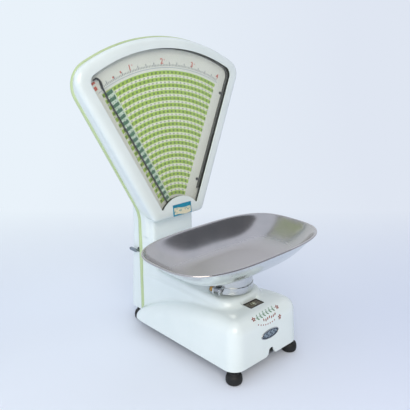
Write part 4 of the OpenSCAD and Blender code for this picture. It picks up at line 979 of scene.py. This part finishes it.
def tone(tree, place, scale, low, high):
    """Two colours that drift into each other in soft clouds."""
    clouds = add(tree, "TexNoise", {"Vector": place, "Scale": scale, "Detail": 3.0})
    return add(tree, "ValToRGB", {"Fac": clouds}, stops=[(0.3, low), (0.7, high)])


def uneven(tree, shader, place, scale, detail, depth, strength):
    """A slightly uneven surface, with its depth in millimetres."""
    swell = add(tree, "TexNoise", {"Vector": place, "Scale": scale, "Detail": detail})
    waves = add(tree, "Bump", {"Height": swell, "Distance": depth * MM, "Strength": strength})
    tree.links.new(waves, shader.inputs["Normal"])


def overlap(tree, first, *others):
    """Where all the masks hold."""
    for mask in others:
        first = add(tree, "Math", {0: first, 1: mask}, operation="MULTIPLY")
    return first


def layer(tree, mask, below, above, cover=1.0):
    """One colour printed over another where the mask holds."""
    share = overlap(tree, mask, cover)
    return add(tree, "Mix", {0: share, 6: below, 7: above}, out=2, data_type="RGBA")


print("helpers ready: finish_of, tone, uneven, overlap, layer")

# %% [markdown]
# Glossy vitreous enamel on pressed steel: glass fused to the metal in a thick coat. The eye sees a
# milky white with a breath of green, a sharp soft-edged gloss, and a very slight wave in reflections
# where the coat flowed. Its glass has an index of about 1.5. The bead is the same enamel in pale green.

# %% Enamels
for slot, name, pale, deep in (("enamel", "fired_enamel_white", "#e9f2ef", "#e4eeeb"),
                               ("bead_enamel", "fired_enamel_green", "#c3d5a4", "#b7cb96")):
    material, tree, shader, place = finish_of(name, Roughness=0.2, IOR=1.5, Coat_Weight=0.3,
                                              Coat_Roughness=0.06)
    tree.links.new(tone(tree, place, 14.0, deep, pale), shader.inputs["Base Color"])
    uneven(tree, shader, place, 60.0, 1.0, 0.12, 0.35)
    FINISH[slot] = material
print("enamels", sorted(FINISH))

# %% [markdown]
# The metals: bright stainless sheet with fine random scratches from years of wiping, turned and plated
# steel on the cup, plain and darkened tool steel inside, brass on the nut and the pendulum bob. A metal
# takes its colour from its reflections, so each one mostly needs the right roughness and the right
# scratches. A scratch is finer than a pixel here, so it is drawn about 0.6 mm wide.

# %% Metals
def scratches(tree, shader, place, stretch, scale, depth, rough):
    """Marks drawn out one way, that groove the surface and vary its roughness."""
    laid = add(tree, "Mapping", {"Vector": place, "Scale": stretch})
    lines = add(tree, "TexNoise", {"Vector": laid, "Scale": scale, "Detail": 4.0, "Roughness": 0.7})
    grooves = add(tree, "Bump", {"Height": lines, "Distance": depth * MM, "Strength": 0.4})
    tree.links.new(grooves, shader.inputs["Normal"])
    return add(tree, "ValToRGB", {"Fac": lines}, stops=[(0.3, rough[0]), (0.7, rough[1])])


def metal(slot, name, colour, worn, rough, stretch, scale):
    material, tree, shader, place = finish_of(name, Metallic=1.0)
    tree.links.new(tone(tree, place, 18.0, worn, colour), shader.inputs["Base Color"])
    tree.links.new(scratches(tree, shader, place, stretch, scale, 0.03, rough), shader.inputs["Roughness"])
    FINISH[slot] = material


# The flat of the pan is scoured by goods and wiping and its walls keep their polish. Its underside gets a
# paler, bluer metal colour, a painted reflection of the pale room below it, so one sheet shows three
# finishes. The way each face looks picks its finish.
material, tree, shader, place = finish_of("wiped_stainless_sheet", Metallic=1.0)
facing_up = add(tree, "SeparateXYZ", {0: add(tree, "NewGeometry", out=3)}, out=2)
scoured = add(tree, "MapRange", {0: facing_up, 1: 0.86, 2: 0.97, 3: 0.0, 4: 1.0})
# Faces that look down are given a paler, bluer colour: a painted reflection.
below = add(tree, "MapRange", {0: facing_up, 1: -0.05, 2: -0.35, 3: 0.0, 4: 1.0})
sheet = tone(tree, place, 18.0, "#b9b6b3", "#c6c0bc")
sheet = layer(tree, scoured, sheet, "#cfcac8")
sheet = layer(tree, below, sheet, "#dfe3e4")
tree.links.new(sheet, shader.inputs["Base Color"])
polish = scratches(tree, shader, place, (1.0, 0.25, 1.0), 420.0, 0.05, (0.14, 0.26))
dulled = add(tree, "Math", {0: scoured, 1: 0.34, 2: polish}, operation="MULTIPLY_ADD")
tree.links.new(dulled, shader.inputs["Roughness"])
FINISH["stainless"] = material

metal("cup_steel", "turned_plated_steel", "#d2d4d2", "#c6c9c8", (0.18, 0.3), (0.2, 0.2, 1.0), 900.0)
metal("tool_steel", "ground_tool_steel", "#a9aaac", "#9c9da0", (0.28, 0.45), (1.0, 0.1, 1.0), 800.0)
metal("dark_steel", "darkened_steel", "#9aa2a8", "#8a9298", (0.3, 0.45), (1.0, 0.1, 1.0), 700.0)
metal("brass", "turned_brass", "#b8945c", "#a07c48", (0.22, 0.38), (0.2, 1.0, 0.2), 900.0)
metal("dash_alloy", "turned_aluminium", "#b4b6b8", "#a9abad", (0.3, 0.45), (0.2, 0.2, 1.0), 800.0)
print("metals added,", len(FINISH), "finishes so far")

# %% [markdown]
# Moulded rubber is dark, dull and never quite even. The inner frame has a plain workshop paint, and the
# pointer a black satin lacquer.

# %% Rubber, lacquer and workshop paint
def paint(slot, name, dark, light, roughness, scale=120.0):
    material, tree, shader, place = finish_of(name, Roughness=roughness, IOR=1.5)
    tree.links.new(tone(tree, place, scale, dark, light), shader.inputs["Base Color"])
    uneven(tree, shader, place, 400.0, 2.0, 0.05, 0.4)
    FINISH[slot] = material


paint("foot_rubber", "moulded_black_rubber", "#0d0e0c", "#191a18", 0.6)
paint("gasket_rubber", "extruded_rubber", "#141814", "#20261f", 0.5)
paint("frame_paint", "workshop_grey_paint", "#565c60", "#63696d", 0.45)
paint("black_lacquer", "black_satin_lacquer", "#0b0b0b", "#161616", 0.3)
print("rubber and paints added,", len(FINISH), "finishes so far")

# %% [markdown]
# The windows are plain float glass. A full refracting shader would darken the chart and add grain to
# the render, so the pane is a pale gloss instead: mostly see-through when looked at squarely and more
# opaque towards the edge, which is what Layer Weight gives. There its pale colour is a painted
# reflection, beside the pane's own gloss.

# %% Window glass
material, tree, shader, place = finish_of("clear_float_glass", Roughness=0.03, IOR=1.52)
# The pale colour shows where the pane turns opaque, as a painted reflection.
shader.inputs["Base Color"].default_value = linear("#f2f8f6")
facing = add(tree, "LayerWeight", {"Blend": 0.25}, out=1)
veil_with_painted_reflection = add(tree, "ValToRGB", {"Fac": facing}, stops=[(0.0, 0.015), (1.0, 0.35)])
tree.links.new(veil_with_painted_reflection, shader.inputs["Alpha"])
uneven(tree, shader, place, 8.0, 1.0, 0.1, 0.1)
FINISH["clear_glass"] = material
print("glass added,", len(FINISH), "finishes so far")

# %% [markdown]
# The level holds an olive spirit with a pale bubble, over a card that has gone grey with age. The
# transfer is fired on in a green and a red-brown, so it has the enamel's own gloss. These five have
# no slot in the record, so each is given to its own piece.

# %% Level and transfer
def dress(pieces, name, roughness, ior, scale, low, high):
    material, tree, shader, place = finish_of(name, Roughness=roughness, IOR=ior)
    tree.links.new(tone(tree, place, scale, low, high), shader.inputs["Base Color"])
    for piece in pieces:
        piece.data.materials.append(material)


dress([vial], "olive_spirit_in_glass", 0.08, 1.5, 200.0, "#38301f", "#4f4630")
dress([bubble, mark], "air_bubble_in_glass", 0.05, 1.4, 400.0, "#b9bfa2", "#cdd2bb")
dress([transfer_leaves], "fired_green_transfer", 0.3, 1.5, 260.0, "#4c7a58", "#73997b")
dress([transfer_petals], "fired_red_brown_transfer", 0.3, 1.5, 260.0, "#7c3326", "#9c5238")
dress([card], "aged_grey_card", 0.6, 1.45, 260.0, "#57534a", "#6f6a5d")
print("level and transfer dressed")

# %% [markdown]
# The chart is a lacquered plate with twenty green price bands, each with rows of figures too small to
# read, then a fine blue arc and a ring of ticks. All of it is printed about the pivot, so the material
# turns Object coordinates into a radius and an angle on the leaning plate, and draws the bands from
# them. The figures are small blocks of noise, one for each printed number, with no real digits in them.

# %% Chart print
BAND_IN, BAND_OUT, PITCH, FIGURE_STEP = 66.3, 345.8, 14.27, 11.5
TICK_R, SHORT_R, LONG_R, TICK_END = 355.0, 359.5, 364.0, 27.8
pivot = at(*PIVOT)
chart_shift = (0, -pivot.y * math.sin(LEAN) - pivot.z * math.cos(LEAN),
               pivot.y * math.cos(LEAN) - pivot.z * math.sin(LEAN))


def face_axes(tree, place, turn=0.0):
    """Millimetres across and up the leaning face from the pivot, and both as one vector."""
    laid = add(tree, "Mapping", {"Vector": place, "Rotation": (LEAN - math.pi / 2, 0, 0),
                                 "Location": chart_shift})
    spun = add(tree, "Mapping", {"Vector": laid, "Rotation": (0, 0, -turn), "Scale": (1000, 1000, 1000)})
    parts = add(tree, "SeparateXYZ", {0: spun}).node.outputs
    return parts[0], parts[1], spun


def between(tree, value, low, high):
    return overlap(tree, add(tree, "Math", {0: value, 1: low}, operation="GREATER_THAN"),
                   add(tree, "Math", {0: value, 1: high}, operation="LESS_THAN"))


def repeated(tree, value, pitch, start=0.0):
    """How far a point is through its own repeat of a pattern, from 0 to 1."""
    beyond = add(tree, "Math", {0: value, 1: start}, operation="SUBTRACT")
    repeats = add(tree, "Math", {0: beyond, 1: pitch}, operation="DIVIDE")
    return add(tree, "Math", {0: repeats}, operation="FRACT")


material, tree, shader, place = finish_of("printed_satin_lacquer", Roughness=0.35, IOR=1.5)
u, v, _ = face_axes(tree, place)
flat = add(tree, "CombineXYZ", {0: u, 1: v})
radius = add(tree, "VectorMath", {0: flat}, out=1, operation="LENGTH")
turned_by = add(tree, "Math", {0: u, 1: v}, operation="ARCTAN2")
angle = add(tree, "Math", {0: turned_by, 1: 180 / math.pi}, operation="MULTIPLY")
share = repeated(tree, radius, PITCH, BAND_IN)
side_way = (math.cos(math.radians(26)), math.sin(math.radians(26)), 0)
from_left = add(tree, "VectorMath", {0: flat, 1: side_way}, out=1, operation="DOT_PRODUCT")
facing = add(tree, "SeparateXYZ", {0: add(tree, "NewGeometry", out=3)}, out=1)
field = overlap(tree, between(tree, radius, BAND_IN, BAND_OUT),
                add(tree, "Math", {0: angle, 1: 27.4}, operation="LESS_THAN"),
                add(tree, "Math", {0: from_left, 1: -13.8}, operation="GREATER_THAN"),
                add(tree, "Math", {0: facing, 1: 0.0}, operation="LESS_THAN"))
green = overlap(tree, field, add(tree, "Math", {0: share, 1: 0.6}, operation="LESS_THAN"))
around = add(tree, "Math", {0: radius, 1: turned_by}, operation="MULTIPLY")
block_here = overlap(tree, field, between(tree, repeated(tree, around, FIGURE_STEP), 0.16, 0.58))
speck = add(tree, "TexNoise", {"Vector": flat, "Scale": 0.8, "Detail": 1.0})
dark_figure = overlap(tree, block_here, between(tree, share, 0.12, 0.46),
                      add(tree, "Math", {0: speck, 1: 0.36}, operation="GREATER_THAN"))
grey_figure = overlap(tree, block_here, between(tree, share, 0.66, 0.9),
                      add(tree, "Math", {0: speck, 1: 0.45}, operation="GREATER_THAN"))
thin_arc = overlap(tree, between(tree, radius, 351.4, 352.6), between(tree, angle, -29.0, 28.2))
short = overlap(tree, between(tree, repeated(tree, angle, UNIT / 20, UNIT / 40), 0.34, 0.66),
                between(tree, radius, TICK_R, SHORT_R))
long = overlap(tree, between(tree, repeated(tree, angle, UNIT / 4, UNIT / 8), 0.46, 0.54),
               between(tree, radius, TICK_R, LONG_R))
ticks = overlap(tree, add(tree, "Math", {0: short, 1: long}, operation="MAXIMUM"),
                between(tree, angle, -TICK_END, TICK_END))

printed = layer(tree, field, tone(tree, place, 25.0, "#e3e8dd", "#e9ede2"), "#edf1d6", 0.9)
printed = layer(tree, green, printed, tone(tree, place, 40.0, "#9fc538", "#abd04c"))
for mask, ink, cover in ((dark_figure, "#35602a", 0.78), (grey_figure, "#727d72", 0.85),
                         (thin_arc, "#7f95a8", 0.8), (ticks, "#4f5c66", 0.95)):
    printed = layer(tree, mask, printed, ink, cover)
tree.links.new(printed, shader.inputs["Base Color"])
uneven(tree, shader, place, 300.0, 2.0, 0.02, 0.3)
FINISH["chart_paint"] = material
print("chart has", int((BAND_OUT - BAND_IN) / PITCH) + 1, "price bands")

# %% [markdown]
# The strip is printed like the chart, in a bluer green: a dark block with pale figures for each band,
# and a light margin at its right. Its pattern is measured along and across the resting pointer. The
# numbers are a warm red ink, and the chin plate is blue lacquer above a cream field.

# %% Strip, ink and chin plate
material, tree, shader, place = finish_of("printed_price_strip", Roughness=0.35, IOR=1.5)
side, out, spun = face_axes(tree, place, REST)
line = repeated(tree, out, PITCH, BAND_IN)
right_edge = add(tree, "Math", {0: out, 1: 0.0285, 2: 8.6}, operation="MULTIPLY_ADD")
inner = add(tree, "Math", {0: side, 1: right_edge}, operation="LESS_THAN")
cells = overlap(tree, inner, add(tree, "Math", {0: line, 1: 0.62}, operation="LESS_THAN"))
speck = add(tree, "TexNoise", {"Vector": spun, "Scale": 0.55, "Detail": 1.0})
pale = overlap(tree, inner, between(tree, line, 0.5, 0.98),
               add(tree, "Math", {0: speck, 1: 0.5}, operation="GREATER_THAN"))
printed = layer(tree, inner, "#cfe0be", "#8fb58d")
printed = layer(tree, cells, printed, tone(tree, place, 150.0, "#1f5638", "#2f7350"), 0.9)
tree.links.new(layer(tree, pale, printed, "#dbe9dd", 0.9), shader.inputs["Base Color"])
uneven(tree, shader, place, 300.0, 2.0, 0.02, 0.3)
strip.data.materials.append(material)

paint("red_ink", "printed_red_ink", "#c8553f", "#d4705c", 0.4, scale=500.0)

material, tree, shader, place = finish_of("blue_and_cream_lacquer", Roughness=0.25, IOR=1.5)
u, v, laid = face_axes(tree, place)
wave = add(tree, "Math", {0: add(tree, "Math", {0: u, 1: 9.0}, operation="DIVIDE")}, operation="SINE")
waved = add(tree, "Math", {0: wave, 1: 1.6, 2: v}, operation="MULTIPLY_ADD")
cream = overlap(tree, between(tree, waved, 22.0, 37.5), between(tree, u, -20.5, 29.5))
grain = add(tree, "TexNoise", {"Vector": laid, "Scale": 0.32, "Detail": 1.0})
flecks = overlap(tree, cream, add(tree, "Math", {0: grain, 1: 0.57}, operation="GREATER_THAN"),
                 between(tree, v, 26.0, 42.0))
plate = layer(tree, cream, tone(tree, place, 90.0, "#1580a0", "#2394b2"), "#e9e3c6")
tree.links.new(layer(tree, flecks, plate, "#3f9c9f", 0.8), shader.inputs["Base Color"])
FINISH["chin_paint"] = material
print("strip, ink and chin plate added,", len(FINISH), "finishes so far")

# %% [markdown]
# The oval plate bears a plain generic pattern: a dark border and crossed waves on slate blue. Two sines,
# one bent by the other, give the waves, and the border is what lies outside a smaller oval.

# %% Oval plate print
material, tree, shader, place = finish_of("slate_blue_lacquer", Roughness=0.2, IOR=1.5)
from_middle = add(tree, "Mapping", {"Vector": place, "Location": (-BADGE[0], 0, -BADGE[1]),
                                    "Scale": (1000, 1000, 1000)})
parts = add(tree, "SeparateXYZ", {0: from_middle}).node.outputs
height = add(tree, "Math", {0: parts[2], 1: 0.6}, operation="MULTIPLY")
bend = add(tree, "Math", {0: height}, operation="SINE")
bent = add(tree, "Math", {0: bend, 1: 1.8}, operation="MULTIPLY")
phase = add(tree, "Math", {0: parts[0], 1: 0.55, 2: bent}, operation="MULTIPLY_ADD")
wave = add(tree, "Math", {0: phase}, operation="SINE")
shares = add(tree, "VectorMath", {0: from_middle, 1: (1 / 22.0, 0, 1 / 6.6)}, operation="MULTIPLY")
outness = add(tree, "VectorMath", {0: shares}, out=1, operation="LENGTH")
inside = add(tree, "Math", {0: outness, 1: 1.0}, operation="LESS_THAN")
dark = overlap(tree, inside, add(tree, "Math", {0: wave, 1: 0.35}, operation="GREATER_THAN"))
field = layer(tree, inside, "#2c3741", tone(tree, place, 90.0, "#71818e", "#8393a0"))
tree.links.new(layer(tree, dark, field, "#3b4956", 0.85), shader.inputs["Base Color"])
FINISH["badge_paint"] = material
print("finishes", sorted(FINISH))

# %% [markdown]
# Each CAD node that stays in view has slots named for the record's finishes, so it takes its finish by
# name. The made pieces have no slots yet, and each gets the one finish that it wears.

# %% Dress the CAD nodes
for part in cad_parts.values():
    for socket in part.material_slots:
        socket.material = FINISH[socket.material.name]
for piece in (base_skin, head_skin, rear_skin):
    piece.data.materials.clear()
made_here = [(base_skin, "enamel"), (head_skin, "enamel"), (rear_skin, "enamel"), (bead, "bead_enamel"),
             (pan_sheet, "stainless"), (blade, "black_lacquer"), (numbers, "red_ink"),
             (level, "black_lacquer"), (badge_rim, "cup_steel"), (badge_field, "badge_paint"),
             (chin_sheet, "chin_paint"), (cup, "cup_steel"), (strap, "cup_steel"), (screw, "tool_steel"),
             (nut, "brass")]
made_here += [(bpy.data.objects["rubber_foot_" + corner], "foot_rubber") for corner in CORNERS]
for piece, slot in made_here:
    piece.data.materials.append(FINISH[slot])
print("dressed", len(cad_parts), "CAD nodes and", len(made_here), "made pieces")

# %% [markdown]
# The scale stands on a pale seamless sheet that curves up behind it. Near the scale the sheet is plain
# paper and takes its shadow, but a tenth of its glow is mixed in even there, which lightens that shadow as
# painted light. With distance behind the scale it gives more and more of its glowing colour to the camera
# and to reflections, so the background keeps its lavender-white. Both paper and glow are painted a little
# darker towards the right: painted shade for the softbox's light falling off away from the left.

# %% Seamless backdrop
AZIMUTH = math.radians(43.72)
away = Vector((math.sin(AZIMUTH), math.cos(AZIMUTH), 0))
across = Vector((math.cos(AZIMUTH), -math.sin(AZIMUTH), 0))
BEND, HALF_WIDE, NEAR_END, SHEET_TOP = 0.9, 3.2, -2.4, 3.2      # metres
profile = [(NEAR_END, 0.0), (0.0, 0.0), (BEND, 0.0)]
profile += [(BEND + BEND * math.sin(math.radians(a)), BEND - BEND * math.cos(math.radians(a)))
            for a in range(6, 91, 6)] + [(2 * BEND, SHEET_TOP)]
strips = [[away * d + across * w + Vector((0, 0, z)) for d, z in profile] for w in (-HALF_WIDE, HALF_WIDE)]
bare_selection()
bpy.ops.mesh.primitive_grid_add(x_subdivisions=len(profile) - 1, y_subdivisions=1, size=1)
backdrop = bpy.context.object
backdrop.name = backdrop.data.name = "seamless_backdrop"
corners = backdrop.data.vertices
order = sorted(range(len(corners)), key=lambda k: (round(corners[k].co.y, 4), corners[k].co.x))
for row, k in enumerate(order):
    side, step = divmod(row, len(profile))
    corners[k].co = strips[side][step]
smooth(backdrop, 60)

material, tree, shader, place = finish_of("matt_paper_sheet", Roughness=0.9)
sideways = add(tree, "VectorMath", {0: place, 1: across}, out=1, operation="DOT_PRODUCT")
along_wall = add(tree, "MapRange", {0: sideways, 1: -1.2, 2: 1.2, 3: 0.0, 4: 1.0})
along_floor = add(tree, "MapRange", {0: sideways, 1: -0.4, 2: 0.5, 3: 0.0, 4: 1.0})
# The paper is painted darker towards the right, as painted shade of the softbox's falloff.
paper_with_painted_falloff = add(tree, "ValToRGB", {"Fac": along_floor}, stops=[(0.0, "#ecf2f8"), (1.0, "#e2e8f4")])
tree.links.new(paper_with_painted_falloff, shader.inputs["Base Color"])
# The glow is painted darker towards the right in the same way, as painted shade.
glow_with_painted_falloff = add(tree, "ValToRGB", {"Fac": along_wall}, stops=[(0.2, "#e9f2fa"), (0.8, "#dfe6f2")])
glow = add(tree, "Emission", {"Color": glow_with_painted_falloff, "Strength": 1.0})
rays = add(tree, "LightPath").node.outputs
mirrored_too = add(tree, "Math", {0: rays["Is Glossy Ray"], 1: rays["Is Transmission Ray"]},
                   operation="MAXIMUM")
seen = add(tree, "Math", {0: rays["Is Camera Ray"], 1: mirrored_too}, operation="MAXIMUM")
forward = add(tree, "VectorMath", {0: place, 1: away}, out=1, operation="DOT_PRODUCT")
# A tenth of the glow is mixed in even nearest the scale, which lightens its shadow as painted light.
beyond = add(tree, "MapRange", {0: forward, 1: 0.1, 2: 0.95, 3: 0.1, 4: 1.0})
mixed = add(tree, "MixShader", {0: overlap(tree, seen, beyond), 1: shader.outputs[0], 2: glow})
tree.links.new(mixed, tree.nodes["Material Output"].inputs["Surface"])
backdrop.data.materials.append(material)
print("backdrop", 2 * HALF_WIDE, "m wide, bent up", BEND, "m behind the scale")

# %% [markdown]
# The light is one large warm softbox, high at the front left, and the pale blue of the room fills the
# shadows. A patch of the room in front is dim, because a polished pan shows whatever stands before it.
# The camera sees the room plain.

# %% Softbox and room
KEY_AT, KEY_AIM = Vector((-1.2, -1.6, 1.5)), Vector((0, 0, 0.2))
bare_selection()
bpy.ops.object.light_add(type="AREA", location=KEY_AT)
key = bpy.context.object
key.name = key.data.name = "key_softbox"
key.data.size, key.data.energy = 1.5, 30.5
key.data.color = linear("#fff6e9")[:3]
key.rotation_euler = (KEY_AIM - KEY_AT).to_track_quat("-Z", "Y").to_euler()

DIM_SIDE = Vector((0.2, -0.9, 0.39)).normalized()
world = bpy.data.worlds.new("pale_room")
bpy.context.scene.world = world
world.use_nodes = True
sky = world.node_tree
toward = add(sky, "VectorMath", {0: add(sky, "TexCoord"), 1: DIM_SIDE}, out=1, operation="DOT_PRODUCT")
dim = add(sky, "MapRange", {0: toward, 1: 0.70, 2: 0.76, 3: 1.0, 4: 0.2})
camera_ray = add(sky, "LightPath").node.outputs["Is Camera Ray"]
lit = add(sky, "Math", {0: dim, 1: camera_ray}, operation="MAXIMUM")
background = sky.nodes["Background"]
background.inputs["Color"].default_value = linear("#e1e9fa")
sky.links.new(lit, background.inputs["Strength"])
print("softbox", key.data.size, "m square,", key.data.energy, "W")

# %% [markdown]
# The camera stands where the photograph was taken from. Its place was solved from the feet, the round
# cup, the level pan and the evenness of the fan, so the perspective is the photograph's own.

# %% Camera
CAMERA_AT, DOWN, LENS, FILM = (-791.5, SEAM - 975.6, 671.4), 17.17, 48.108, 36.0
bare_selection()
bpy.ops.object.camera_add(location=at(*CAMERA_AT), rotation=(math.radians(90 - DOWN), 0, -AZIMUTH))
camera = bpy.context.object
camera.data.lens, camera.data.sensor_width = LENS, FILM
bpy.context.scene.camera = camera
bpy.context.scene.view_settings.view_transform = "Standard"
print("camera", DOWN, "degrees down, lens", LENS, "mm")
